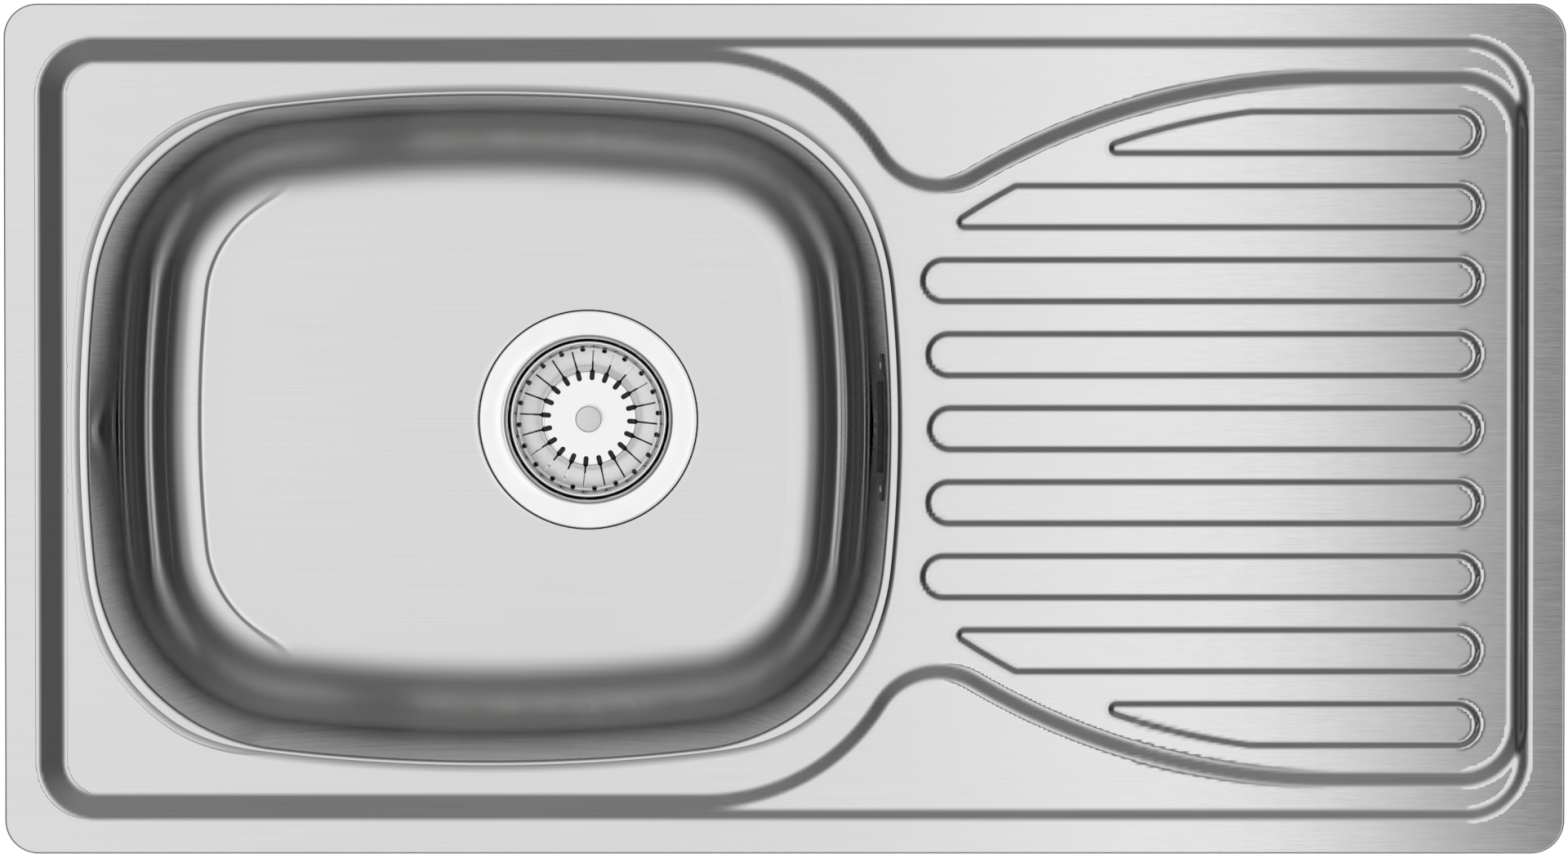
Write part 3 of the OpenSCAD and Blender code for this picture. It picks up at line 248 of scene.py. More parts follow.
# The bowl's outline: bulging ends and sides with round corners, all in one chain of arcs
END_C = np.array([BOWL_HALF_L - END_BULGE, 0.0])
SIDE_C = np.array([0.0, BOWL_HALF_W - SIDE_BULGE])
CORNER_C = meeting(END_C, END_BULGE - BOWL_CORNER, SIDE_C, SIDE_BULGE - BOWL_CORNER)
END_ANGLE = heading(CORNER_C - END_C)
SIDE_ANGLE = heading(CORNER_C - SIDE_C)
END_STEPS, CORNER_STEPS, SIDE_STEPS = 9, 34, 12


def bowl_spokes():
    """The outline's points going round: normal's angle, arc's centre and radius for each."""
    quarter = [(END_ANGLE * i / END_STEPS, END_C, END_BULGE) for i in range(END_STEPS)]
    quarter += [(END_ANGLE + (SIDE_ANGLE - END_ANGLE) * i / CORNER_STEPS, CORNER_C, BOWL_CORNER)
                for i in range(CORNER_STEPS)]
    quarter += [(SIDE_ANGLE + (math.pi / 2 - SIDE_ANGLE) * i / SIDE_STEPS, SIDE_C, SIDE_BULGE)
                for i in range(SIDE_STEPS + 1)]
    flipped = [(math.pi - a, np.array([-c[0], c[1]]), r) for a, c, r in quarter]
    half = quarter[:-1] + flipped[::-1][:-1]
    return half + [(a + math.pi, -c, r) for a, c, r in half]


SPOKES = bowl_spokes()
SPOKE_ANGLES = np.array([s[0] for s in SPOKES])
SPOKE_OUT = np.stack([np.cos(SPOKE_ANGLES), np.sin(SPOKE_ANGLES)], axis=-1)
SPOKE_FOOT = np.array([s[1] for s in SPOKES]) + np.array([[s[2]] for s in SPOKES]) * SPOKE_OUT
SPOKE_FOOT[:, 0] += BOWL_X


def bowl_loop(grow):
    """The opening's outline moved outwards by grow, one point per spoke."""
    return SPOKE_FOOT + np.reshape(grow, (-1, 1)) * SPOKE_OUT


def soft_step(value, low, high):
    t = np.clip((value - low) / (high - low), 0, 1)
    return t * t * (3 - 2 * t)


def bevel_rows():
    """The bevel from the deck to the neck, as rows of every spoke's distance outwards, height and tilt: a
    soft roll-down, then a ledge that is wide at the corners and narrow along the sides."""
    across = np.cos(SPOKE_ANGLES)
    ledge = (BEVEL_LEDGE + CORNER_LEDGE * soft_step(np.abs(across), 0.12, 0.6)
             - END_LEDGE * soft_step(np.abs(across), 0.85, 1.0))
    step = BEVEL_STEP - RIGHT_STEP * soft_step(across, 0.85, 1.0)
    edge = NECK_OUT + ledge
    rows = [(np.full_like(step, BEVEL_OUT), np.full_like(step, FLOOR_Z), np.zeros_like(step))]
    for i in range(11):
        t = i / 10
        slope = BEVEL_CURVE * BEVEL_DROP * t ** (BEVEL_CURVE - 1) / step
        rows.append((edge + step * (1 - t), np.full_like(step, FLOOR_Z - BEVEL_DROP * t ** BEVEL_CURVE),
                     np.arctan(slope)))
    rows.append((edge - 0.2, np.full_like(step, FLOOR_Z - BEVEL_DROP - 0.03), np.full_like(step, NECK_TILT)))
    return rows


def bowl_section():
    """The bowl's section from the neck inwards: distance outwards, height, and the normal's tilt inwards."""
    points = []

    def add(out, z, tilt):
        points.append((out, z, tilt))

    def bend(start, a0, a1, r, steps):
        """An arc that turns down from tilt a0 to a1, or back up where a1 is less."""
        sign = 1 if a1 > a0 else -1
        cx, cz = start[0] + sign * r * math.sin(a0), start[1] - sign * r * math.cos(a0)
        for i in range(1, steps + 1):
            a = a0 + (a1 - a0) * i / steps
            add(cx - sign * r * math.sin(a), cz + sign * r * math.cos(a), a)

    wall = math.pi / 2 - WALL_SLOPE
    add(NECK_OUT, FLOOR_Z - BEVEL_DROP - 0.05, NECK_TILT)
    bend(points[-1], NECK_TILT, wall, NECK_R, 9)
    floor_edge = FLOOR_Z - BOWL_DEPTH
    foot_z = floor_edge + FOOT_BEND * (math.cos(FLOOR_TILT) - math.cos(FOOT_TILT))
    change_z = foot_z + FLOOR_BEND * (math.cos(FOOT_TILT) - math.cos(BEND_CHANGE))
    wall_foot_z = change_z + WIDE_BEND * (math.cos(BEND_CHANGE) - math.cos(wall))
    top_out, top_z = points[-1][:2]
    for i in range(1, 13):
        z = top_z + (wall_foot_z - top_z) * i / 12
        add(top_out - (top_z - z) * math.tan(WALL_SLOPE), z, wall)
    bend(points[-1], wall, BEND_CHANGE, WIDE_BEND, 14)
    bend(points[-1], BEND_CHANGE, FOOT_TILT, FLOOR_BEND, 10)
    bend(points[-1], FOOT_TILT, FLOOR_TILT, FOOT_BEND, 5)
    return points


SECTION = bowl_section()


def new_piece(name, vertices, faces, normals, material, body, replaced):
    """A mesh from points in millimetres, with given normals or none, riding on a body in a node's place."""
    mesh = bpy.data.meshes.new(name)
    mesh.from_pydata((np.asarray(vertices) * MM).tolist(), [], faces)
    mesh.update()
    mesh.shade_smooth()
    if normals is not None:
        mesh.normals_split_custom_set_from_vertices(np.asarray(normals, float).tolist())
    piece = bpy.data.objects.new(name, mesh)
    bpy.context.scene.collection.objects.link(piece)
    mesh.materials.append(material)
    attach(piece, body)
    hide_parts(*replaced)
    return piece


def lines(*stretches):
    """Grid lines over stretches (first, last, spacing) that follow on from each other."""
    values = []
    for first, last, spacing in stretches:
        count = max(1, round((last - first) / spacing))
        values += [first + (last - first) * i / count for i in range(count)]
    return values + [stretches[-1][1]]


def fill(points, edges, keep):
    """Triangles between closed chains of points, kept where keep(centre) is true."""
    made = geometry.delaunay_2d_cdt([Vector(p) for p in points], edges, [], 0, 1e-6)
    coords, triangles, origins = made[0], made[2], made[3]
    first = [o[0] if o else None for o in origins]
    centres = np.array([[sum(coords[i][k] for i in t) / 3 for k in (0, 1)] for t in triangles])
    kept = keep(centres[:, 0], centres[:, 1])
    chosen = [[first[i] for i in t] for t, ok in zip(triangles, kept) if ok]
    return [t for t in chosen if None not in t]


def quad(k, i, n):
    """The face between the rings k and k + 1, of n points each, from point i to the next one."""
    j = (i + 1) % n
    return [k * n + i, k * n + j, (k + 1) * n + j, (k + 1) * n + i]


def grid_lines(coarse):
    """The deck's grid: close where it slopes, wide where it is flat. Each stretch ends just beside a slope of
    the ledge, the wave or a rib."""
    tip_x = rib_tip(RIB_COUNT // 2)[0]
    fine = 1.25 * coarse
    xs = lines((-375, -340, fine), (-340, -40, 12), (-40, 0, 4), (0, 44, 2), (44, 118, 1.3 * fine),
               (118, tip_x - 7, 2.2 * coarse), (tip_x - 7, tip_x + 8, fine), (tip_x + 8, 327, 6),
               (327, 375, fine))
    stops = []
    for number in range(3):
        middle = number * RIB_PITCH
        for side in (-1, 1):
            edge = middle + side * (RIB_HALF - RIB_RUN / 2)
            if edge > 0:
                stops.append(edge)
    ys, at = [], 0.0
    for edge in sorted(stops):
        ys += lines((at, edge - 2.4, 1.9 * coarse))[:-1] + lines((edge - 2.4, edge + 2.4, 0.8 * coarse))[:-1]
        at = edge + 2.4
    ys += lines((at, 98, 3), (98, 161, 1.15 * coarse), (161, 173, 1.6 * coarse), (173, 197.5, fine))
    ys = [-y for y in ys[:0:-1]] + ys
    return np.array(xs), np.array(ys)


def opening_depth(x, y, loop):
    """The distance outside a closed loop, negative inside it, to the nearest of its points."""
    near = np.full(np.shape(x), 1e9)
    for px, py in loop:
        near = np.minimum(near, np.hypot(x - px, y - py))
    return np.where(inside_polygon(x, y, loop), -near, near)


def deck_sheet(coarse, loop):
    """The deck's flat grid round the bowl's loop: points in the plane, and faces that leave the bowl free.
    The last points are the loop's."""
    xs, ys = grid_lines(coarse)
    gx, gy = np.meshgrid(xs, ys)
    clear = opening_depth(gx, gy, loop) > LOOP_GAP
    nx, ny = len(xs), len(ys)
    keep = clear[:-1, :-1] & clear[1:, :-1] & clear[:-1, 1:] & clear[1:, 1:]
    faces = [[j * nx + i, j * nx + i + 1, (j + 1) * nx + i + 1, (j + 1) * nx + i]
             for j in range(ny - 1) for i in range(nx - 1) if keep[j, i]]
    # The staircase between the kept cells and the bowl
    edges = dict.fromkeys((a, b) for face in faces for a, b in zip(face, face[1:] + face[:1]))
    rim = [(a, b) for a, b in edges if (b, a) not in edges]
    points = np.stack([gx.ravel(), gy.ravel()], axis=-1)
    inner = [(a, b) for a, b in rim
             if abs(points[a][0]) < xs[-1] - 0.1 and abs(points[a][1]) < ys[-1] - 0.1]
    used = sorted({i for e in inner for i in e})
    place = {i: k for k, i in enumerate(used)}
    count = len(used)
    ring = [points[i] for i in used] + list(loop)
    ring_edges = [(place[a], place[b]) for a, b in inner]
    ring_edges += [(count + i, count + (i + 1) % len(loop)) for i in range(len(loop))]

    def between(cx, cy):
        i = np.clip(np.searchsorted(xs, cx) - 1, 0, nx - 2)
        j = np.clip(np.searchsorted(ys, cy) - 1, 0, ny - 2)
        return ~keep[j, i] & ~inside_polygon(cx, cy, loop)

    triangles = fill(ring, ring_edges, between)
    base = nx * ny
    index = used + [base + i for i in range(len(loop))]
    faces += [[index[i] for i in t] for t in triangles]
    points = np.concatenate([points, loop])
    return points, faces, xs, ys


def rim_ring(inset, count=14):
    """A closed ring round the sink, inset from its outline."""
    r = CORNER_R - inset
    x, y = HALF_L - CORNER_R, HALF_W - CORNER_R
    ring = []
    for cx, cy, a0 in ((x, -y, -90), (x, y, 0), (-x, y, 90), (-x, -y, 180)):
        for i in range(count + 1):
            a = math.radians(a0 + 90 * i / count)
            ring.append((cx + r * math.cos(a), cy + r * math.sin(a), math.cos(a), math.sin(a)))
    return np.array(ring)


def outer_edge(points, xs, ys, ring_xy):
    """Triangles between the grid's outer edge and a ring, for the flat rim."""
    nx, ny = len(xs), len(ys)
    border = (list(range(nx)) + [j * nx + nx - 1 for j in range(1, ny)]
              + [(ny - 1) * nx + i for i in range(nx - 2, -1, -1)] + [j * nx for j in range(ny - 2, 0, -1)])
    coords = [points[i] for i in border] + list(ring_xy)
    count = len(border)
    edges = [(i, (i + 1) % count) for i in range(count)]
    edges += [(count + i, count + (i + 1) % len(ring_xy)) for i in range(len(ring_xy))]
    x0, x1, y0, y1 = xs[0], xs[-1], ys[0], ys[-1]

    def flat(cx, cy):
        return ((cx < x0) | (cx > x1) | (cy < y0) | (cy > y1)) & inside_polygon(cx, cy, ring_xy)

    return border, fill(coords, edges, flat)


def make_deck(material):
    """The pressed deck as one closed sheet with a folded edge."""
    loop = bowl_loop(BEVEL_OUT)
    vertices, normals, faces = [], [], []

    def add(points, z, normal):
        base = len(vertices)
        for p, h, n in zip(points, z, normal):
            vertices.append((p[0], p[1], h))
            normals.append(n)
        return base

    sides = []
    for coarse, drop, sign in ((1.0, 0.0, 1), (UNDER_GRID, SHEET, -1)):
        flat, sheet_faces, xs, ys = deck_sheet(coarse, loop)
        z = deck_height(flat[:, 0], flat[:, 1])
        z[-len(loop):] = FLOOR_Z
        normal = deck_normals(flat[:, 0], flat[:, 1])
        normal[-len(loop):] = (0, 0, 1)
        moved = flat - drop * normal[:, :2]
        moved[-len(loop):] = loop
        base = add(moved, z - drop * normal[:, 2], sign * normal)
        turned = [f if sign > 0 else f[::-1] for f in sheet_faces]
        faces.extend([[base + i for i in f] for f in turned])
        ring = rim_ring(EDGE_R if sign > 0 else SHEET + 0.5)
        ring_base = add(ring[:, :2], [RIM_Z - drop] * len(ring), [(0, 0, sign)] * len(ring))
        border, triangles = outer_edge(moved[:, :2], xs, ys, ring[:, :2])
        index = [base + i for i in border] + [ring_base + i for i in range(len(ring))]
        faces.extend([[index[i] for i in (t if sign > 0 else t[::-1])] for t in triangles])
        sides.append((base, len(flat), ring_base, len(ring)))
    # The rolled edge, from the top ring down, under and up again to the lower ring
    count = sides[0][3]
    previous = sides[0][2]
    profile = [(EDGE_R * (1 - math.sin(a)), RIM_Z - EDGE_R * (1 - math.cos(a)), math.sin(a), math.cos(a))
               for a in np.radians([11.25, 22.5, 33.75, 45, 56.25, 67.5, 78.75, 90])]
    profile += [(0, EDGE_FOOT + 0.25, 1, 0), (0.1, EDGE_FOOT + 0.06, 0.7, -0.7), (0.3, EDGE_FOOT, 0, -1),
                (SHEET - 0.1, EDGE_FOOT, 0, -1), (SHEET, EDGE_FOOT + 0.15, -0.8, -0.6),
                (SHEET, RIM_Z - SHEET - 0.5, -1, 0)]
    for inset, z, out, up in profile:
        ring = rim_ring(inset)
        base = add(ring[:, :2], [z] * count, [(r[2] * out, r[3] * out, up) for r in ring])
        faces.extend([[previous + i, base + i, base + (i + 1) % count, previous + (i + 1) % count]
                      for i in range(count)])
        previous = base
    base = sides[1][2]
    faces.extend([[previous + i, base + i, base + (i + 1) % count, previous + (i + 1) % count]
                  for i in range(count)])
    # The cut edge inside, against the bowl
    n = len(loop)
    top, low = sides[0][0] + sides[0][1] - n, sides[1][0] + sides[1][1] - n
    faces.extend([[top + i, top + (i + 1) % n, low + (i + 1) % n, low + i] for i in range(n)])
    return new_piece("deck_skin", vertices, faces, normals, material, "sink", ("deck",))


def slot_outline(middle):
    """One overflow slot in the wall's own plane: y and height, going round."""
    straight = SLOT_HALF_H - SLOT_HALF_W
    points = []
    for cz, a0 in ((OVERFLOW_Z + straight, 0), (OVERFLOW_Z - straight, 180)):
        for i in range(9):
            a = math.radians(a0 + 180 * i / 8)
            points.append((middle + SLOT_HALF_W * math.cos(a), cz + SLOT_HALF_W * math.sin(a)))
    return points


def dish_section(top):
    """The dish round the waste from the floor inwards: radius, height, and the normal's tilt inwards."""
    run = DISH_R - STEP_R
    points = []
    for i in range(1, 13):
        t = i / 12
        points.append((DISH_R - run * t, top - DISH_DROP * t ** 3, math.atan(DISH_DROP * 3 * t * t / run)))
    seat = top - RECESS_DEPTH
    edge = points[-1][1]
    points += [(STEP_R - 0.2, edge - 0.15, 0.9), (STEP_R - 0.3, edge - 0.4, 1.45),
               (STEP_R - 0.4, seat + 0.3, 1.45), (STEP_R - 0.7, seat, 0.3), (STEP_R - 4, seat, 0.0),
               (WASTE_HOLE, seat, 0.0)]
    return points


def make_bowl(material):
    """The drawn bowl with its bevel, walls, floor, recess for the waste and overflow slots."""
    n = len(SPOKES)
    rows = []
    for out, z, tilt in bevel_rows() + [[np.full(n, v) for v in point] for point in SECTION]:
        normal = np.concatenate([-SPOKE_OUT * np.sin(tilt)[:, None], np.cos(tilt)[:, None]], axis=1)
        rows.append((np.concatenate([bowl_loop(out), z[:, None]], axis=1), normal))
    last_out, last_z = SECTION[-1][:2]
    edge = bowl_loop(last_out)
    angle = np.arctan2(edge[:, 1], edge[:, 0] - WASTE_X)

    def circle(r):
        return np.stack([WASTE_X + r * np.cos(angle), r * np.sin(angle)], axis=-1)

    lip = circle(DISH_R)
    floor_foot = last_z - FLOOR_FALL
    up = np.array([[0.0, 0.0, 1.0]]) * np.ones((n, 1))
    for i in range(1, 9):
        t = i / 8
        loop = edge * (1 - t) + lip * t
        rows.append((np.concatenate([loop, np.full((n, 1), last_z - FLOOR_FALL * t)], axis=1), up))
    inward = np.stack([-np.cos(angle), -np.sin(angle)], axis=-1)
    for r, z, tilt in dish_section(floor_foot):
        normal = np.concatenate([inward * math.sin(tilt), np.full((n, 1), math.cos(tilt))], axis=1)
        rows.append((np.concatenate([circle(r), np.full((n, 1), z)], axis=1), normal))
    count = len(rows)
    upper = np.concatenate([r[0] for r in rows])
    normal = np.concatenate([r[1] for r in rows])
    lower = upper - SHEET * normal
    lower[:n] = upper[:n] - (0, 0, SHEET)

    # The wall's cells behind the overflow slots are left out and filled round the slots
    before = len(bevel_rows())
    heights = [0.0] * before + [z for _, z, _ in SECTION]
    wall_rows = [before + k for k, (_, _, tilt) in enumerate(SECTION)
                 if abs(tilt - (math.pi / 2 - WALL_SLOPE)) < 1e-6]
    row0 = max(k for k in wall_rows if heights[k] > OVERFLOW_Z + SLOT_HALF_H + SLOT_MARGIN)
    row1 = min(k for k in wall_rows if heights[k] < OVERFLOW_Z - SLOT_HALF_H - SLOT_MARGIN)
    reach = 5
    columns = [i % n for i in range(-reach, reach + 1)]
    slots = [(i - (OVERFLOW_COUNT - 1) / 2) * OVERFLOW_PITCH for i in range(OVERFLOW_COUNT)]
    faces = []
    for k in range(count - 1):
        for i in range(n):
            if row0 <= k < row1 and i in columns[:-1]:
                continue
            faces.append(quad(k, i, n))
    total = count * n
    both = faces + [[total + i for i in f[::-1]] for f in faces]
    both += [[total + i, total + (i + 1) % n, (i + 1) % n, i] for i in range(n)]
    foot = (count - 1) * n
    both += [[foot + i, foot + (i + 1) % n, total + foot + (i + 1) % n, total + foot + i] for i in range(n)]
    vertices = np.concatenate([upper, lower])
    normals = np.concatenate([normal, -normal])

    top_out, top_z = SECTION[wall_rows[0] - before][:2]

    def on_wall(y, z):
        grow = top_out - (top_z - z) * math.tan(WALL_SLOPE)
        r = END_BULGE + grow
        a = math.asin(y / r)
        wall = math.pi / 2 - WALL_SLOPE
        n_out = np.array([-math.cos(a) * math.sin(wall), -math.sin(a) * math.sin(wall), math.cos(wall)])
        point = np.array([BOWL_X + END_C[0] + r * math.cos(a), y, z])
        return point, n_out

    border = [(row0, c) for c in columns] + [(k, columns[-1]) for k in range(row0 + 1, row1)]
    border += [(row1, c) for c in columns[::-1]] + [(k, columns[0]) for k in range(row1 - 1, row0, -1)]
    flat = [(upper[k * n + c][1], upper[k * n + c][2]) for k, c in border]
    index = [k * n + c for k, c in border]
    edges = [(i, (i + 1) % len(flat)) for i in range(len(flat))]
    outlines = []
    extra, extra_normals = [], []
    for middle in slots:
        outline = slot_outline(middle)
        start = len(flat)
        flat += outline
        edges += [(start + i, start + (i + 1) % len(outline)) for i in range(len(outline))]
        outlines.append((start, np.array(outline)))
        for y, z in outline:
            point, n_out = on_wall(y, z)
            index.append(len(vertices) + len(extra))
            extra.append(point)
            extra_normals.append(n_out)
    frame_outline = np.array(flat[:len(border)])

    def wall_only(cx, cy):
        keep = inside_polygon(cx, cy, frame_outline)
        for _, outline in outlines:
            keep &= ~inside_polygon(cx, cy, outline)
        return keep

    triangles = fill(flat, edges, wall_only)
    first = len(extra)
    back = [p - SHEET * m for p, m in zip(extra, extra_normals)]
    patch = [[index[i] for i in t] for t in triangles]
    behind = [i + total if i < total else i + first for i in index]
    patch += [[behind[i] for i in t[::-1]] for t in triangles]
    vertices = np.concatenate([vertices, extra, back])
    normals = np.concatenate([normals, extra_normals, -np.array(extra_normals)])
    # The slots' cut edges have vertices of their own, so that they shade as edges
    edge_vertices, edge_normals, edge_faces = [], [], []
    for start, outline in outlines:
        m = len(outline)
        ids = [index[start + i] for i in range(m)]
        centre = vertices[ids].mean(axis=0)
        base = len(vertices) + len(edge_vertices)
        for i in ids:
            inward_n = centre - vertices[i]
            inward_n /= np.linalg.norm(inward_n)
            edge_vertices += [vertices[i], vertices[i + first]]
            edge_normals += [inward_n, inward_n]
        for i in range(m):
            j = (i + 1) % m
            edge_faces.append([base + 2 * i, base + 2 * j, base + 2 * j + 1, base + 2 * i + 1])
    vertices = np.concatenate([vertices, edge_vertices])
    normals = np.concatenate([normals, edge_normals])
    # The fill may wind either way, so each of these faces is turned to its normal
    for f in patch + edge_faces:
        a, b, c = (vertices[i] for i in f[:3])
        if np.dot(np.cross(b - a, c - a), normals[f[0]]) < 0:
            f.reverse()
    return new_piece("bowl_skin", vertices, both + patch + edge_faces, normals, material, "sink",
                     ("bowl", "bowl_floor"))


def shell(points, faces, sheet):
    """A sheet below a surface: the surface's points and faces with a lower side and cut edges."""
    points = np.asarray(points, float)
    normals = np.zeros_like(points)
    for face in faces:
        a, b, c = points[face[0]], points[face[1]], points[face[-1]]
        normal = np.cross(b - a, c - a)
        normals[list(face)] += normal / max(np.linalg.norm(normal), 1e-9)
    normals /= np.maximum(np.linalg.norm(normals, axis=1, keepdims=True), 1e-9)
    count = len(points)
    edges = {(a, b) for face in faces for a, b in zip(face, list(face[1:]) + [face[0]])}
    cut = [[b, a, a + count, b + count] for a, b in edges if (b, a) not in edges]
    lower = [[i + count for i in face[::-1]] for face in faces]
    return np.concatenate([points, points - sheet * normals]), list(faces) + lower + sorted(cut)


def keep_creases(piece):
    """Keeps edges crisp where faces meet at more than the crease's angle."""
    piece.data.set_sharp_from_angle(angle=CREASE)


def height_on(path, r):
    """The height of a section, a list of (radius, height), at a radius."""
    ordered = sorted(path)
    return float(np.interp(r, [p[0] for p in ordered], [p[1] for p in ordered]))


def round_edge(path, steps):
    """A section with each inner corner turned into a short curve."""
    path = np.array(path, float)
    points = [path[0]]
    for a, b, c in zip(path, path[1:], path[2:]):
        reach = min(np.linalg.norm(b - a), np.linalg.norm(c - b)) * 0.42
        p = b + (a - b) / np.linalg.norm(a - b) * reach
        q = b + (c - b) / np.linalg.norm(c - b) * reach
        for i in range(steps + 1):
            t = i / steps
            points.append((1 - t) ** 2 * p + 2 * t * (1 - t) * b + t * t * q)
    points.append(path[-1])
    return [(float(r), float(z)) for r, z in points]


def at_waste(r, angle, z):
    return (WASTE_X + r * math.cos(angle), r * math.sin(angle), RECESS_Z + z)


def lathe(path, turns):
    """A section of (radius, height) turned about the waste's axis: its points and faces."""
    points = [at_waste(r, 2 * math.pi * i / turns, z) for r, z in path for i in range(turns)]
    return points, [quad(k, i, turns) for k in range(len(path) - 1) for i in range(turns)]


def make_cup(material):
    """The strainer cup: a wide flange, a rounded lip close round the basket, a wall and a pierced floor."""
    path = round_edge([(56.0, 1.5), (55.8, 2.0), (55.0, 2.2), (43.6, 2.2), (42.1, 1.3), (41.4, -0.8),
                       (41.2, -5.0), (40.9, -30.0), (38.0, -34.6), (33.5, -CUP_DEPTH),
                       (22.5, -CUP_DEPTH)], 3)
    turns, hole_turns = 120, 24
    points, faces = lathe(path, turns)
    # The floor with its ring of outlet holes and the hole for the clamp screw
    last = len(points) - turns
    flat = [p[:2] for p in points[last:]]
    edges = [(i, (i + 1) % turns) for i in range(turns)]
    index = list(range(last, last + turns))
    holes = [(WASTE_X + OUTLET_CIRCLE * math.cos(a), OUTLET_CIRCLE * math.sin(a), OUTLET_HOLE)
             for a in np.arange(8) * math.pi / 4] + [(WASTE_X, 0.0, CLAMP_HOLE)]
    rings = []
    for x, y, r in holes:
        start = len(flat)
        around = [(x + r * math.cos(a), y + r * math.sin(a))
                  for a in np.arange(hole_turns) * 2 * math.pi / hole_turns]
        rings.append(np.array(around))
        flat += around
        index += range(len(points), len(points) + len(around))
        points += [(px, py, RECESS_Z - CUP_DEPTH) for px, py in around]
        edges += [(start + i, start + (i + 1) % hole_turns) for i in range(hole_turns)]
    outer = np.array(flat[:turns])

    def floor_only(cx, cy):
        keep = inside_polygon(cx, cy, outer)
        for around in rings:
            keep &= ~inside_polygon(cx, cy, around)
        return keep

    faces += [[index[i] for i in t] for t in fill([tuple(p) for p in flat], edges, floor_only)]
    points, faces = shell(points, faces, CUP_SHEET)
    keep_creases(new_piece("cup_skin", points, faces, None, material, "sink",
                           ("strainer_cup",)))


def make_basket(material):
    """The basket: a rolled rim, sloping petals between 20 slots, and 20 small holes under the rim."""
    path = round_edge([(40.2, -3.9), (40.1, -3.3), (39.5, -3.0), (38.8, -3.1), (38.2, -3.8), (37.6, -6.0),
                       (36.9, -8.7), (24.2, -21.4), (23.4, -21.5), (STEM_HOLE, -21.5)], 3)
    rim = [(r, z) for r, z in path if r > 37.3]
    radii = [37.1, 37.0, 36.7, 36.2, 35.8, 35.5, SLOT_END, 35.0, 34.7, 34.5, 34.0, 32, 29.5, 27, 25.6, 25.0,
              24.4, 23.9, 23.3, 22.6, 21.8, SLOT_START + SLOT_WIDE / 2, 20.4, 20.0, 19.75, 19.62, SLOT_START,
              19, 16, 12, 8, STEM_HOLE]
    half = SLOT_WIDE / 2

    def slot_half(r):
        """Half a slot's width: a round end in the floor, then narrower up the petals."""
        if r > SLOT_END or r <= SLOT_START:
            return CLOSED
        if r > SLOT_BEND:
            return max(WALL_SLOT / 2, half - (r - SLOT_BEND))
        if r >= SLOT_START + half:
            return half
        return max(CLOSED, math.sqrt(half ** 2 - (SLOT_START + half - r) ** 2))

    def hole_half(r):
        return math.sqrt(max(SMALL_HOLE ** 2 - (HOLE_CIRCLE - r) ** 2, CLOSED ** 2))

    # Each of the 20 parts has 8 columns of faces: the first is the slot's and the fifth the small hole's
    count, per_part, hole_column = 20, 8, 4
    period = 2 * math.pi / count
    points, faces = [], []
    rows = rim + [(r, height_on(path, r)) for r in radii]
    for r, z in rows:
        a, b = slot_half(r) / r, hole_half(r) / r
        middle = period / 2
        columns = [-a, a, a + (middle - b - a) / 3, a + 2 * (middle - b - a) / 3, middle - b, middle + b,
                   middle + b + (middle - b - a) / 3, middle + b + 2 * (middle - b - a) / 3]
        for i in range(count):
            points += [at_waste(r, math.radians(SLOT_TURN) + i * period + c, z) for c in columns]
    wide = per_part * count
    for k in range(len(rows) - 1):
        outer, inner = rows[k][0], rows[k + 1][0]
        in_slot = outer <= SLOT_END and inner >= SLOT_START
        in_hole = max(abs(outer - HOLE_CIRCLE), abs(inner - HOLE_CIRCLE)) <= SMALL_HOLE
        for i in range(wide):
            column = i % per_part
            if not (column == 0 and in_slot or column == hole_column and in_hole):
                faces.append(quad(k, i, wide))
    points, faces = shell(points, faces, BASKET_SHEET)
    keep_creases(new_piece("basket_skin", points, faces, None, material, "basket",
                           ("basket_shell",)))


def make_knob(material, top_material):
    """The basket's knob: a polished stem with a satin top."""
    path = round_edge([(4.6, -17.0), (4.6, -21.45), (6.4, -21.45), (6.5, -19.4), (6.95, -18.4), (6.95, -5.2),
                       (6.4, -4.55), (0.02, -4.62)], 4)
    turns = 64
    points, faces = lathe(path, turns)
    faces.append([(len(path) - 1) * turns + i for i in range(turns)])
    faces.append([turns - 1 - i for i in range(turns)])
    piece = new_piece("knob_skin", points, faces, None, material, "basket", ("basket_knob",))
    piece.data.materials.append(top_material)
    for face in piece.data.polygons:
        if face.normal.z > 0.6 and face.center.z > (RECESS_Z - 6) * MM:
            face.material_index = 1
    keep_creases(piece)


def material_tree(name):
    material = bpy.data.materials.new(name)
    material.use_nodes = True
    tree = material.node_tree
    shader = next(n for n in tree.nodes if n.type == "BSDF_PRINCIPLED")
    return material, tree, shader


def stretched_noise(tree, scale, detail, stretch):
    """Noise in the part's own frame, stretched along X, Y and Z."""
    place = tree.nodes.new("ShaderNodeTexCoord")
    mapping = tree.nodes.new("ShaderNodeMapping")
    mapping.inputs["Scale"].default_value = stretch
    noise = tree.nodes.new("ShaderNodeTexNoise")
    noise.inputs["Scale"].default_value = scale
    noise.inputs["Detail"].default_value = detail
    tree.links.new(place.outputs["Object"], mapping.inputs["Vector"])
    tree.links.new(mapping.outputs["Vector"], noise.inputs["Vector"])
    return noise


def ranged(tree, source, low, high, to_low, to_high):
    """A value moved from the range low to high into the range to_low to to_high."""
    node = tree.nodes.new("ShaderNodeMapRange")
    for socket, value in (("From Min", low), ("From Max", high), ("To Min", to_low), ("To Max", to_high)):
        node.inputs[socket].default_value = value
    tree.links.new(source, node.inputs["Value"])
    return node.outputs["Result"]


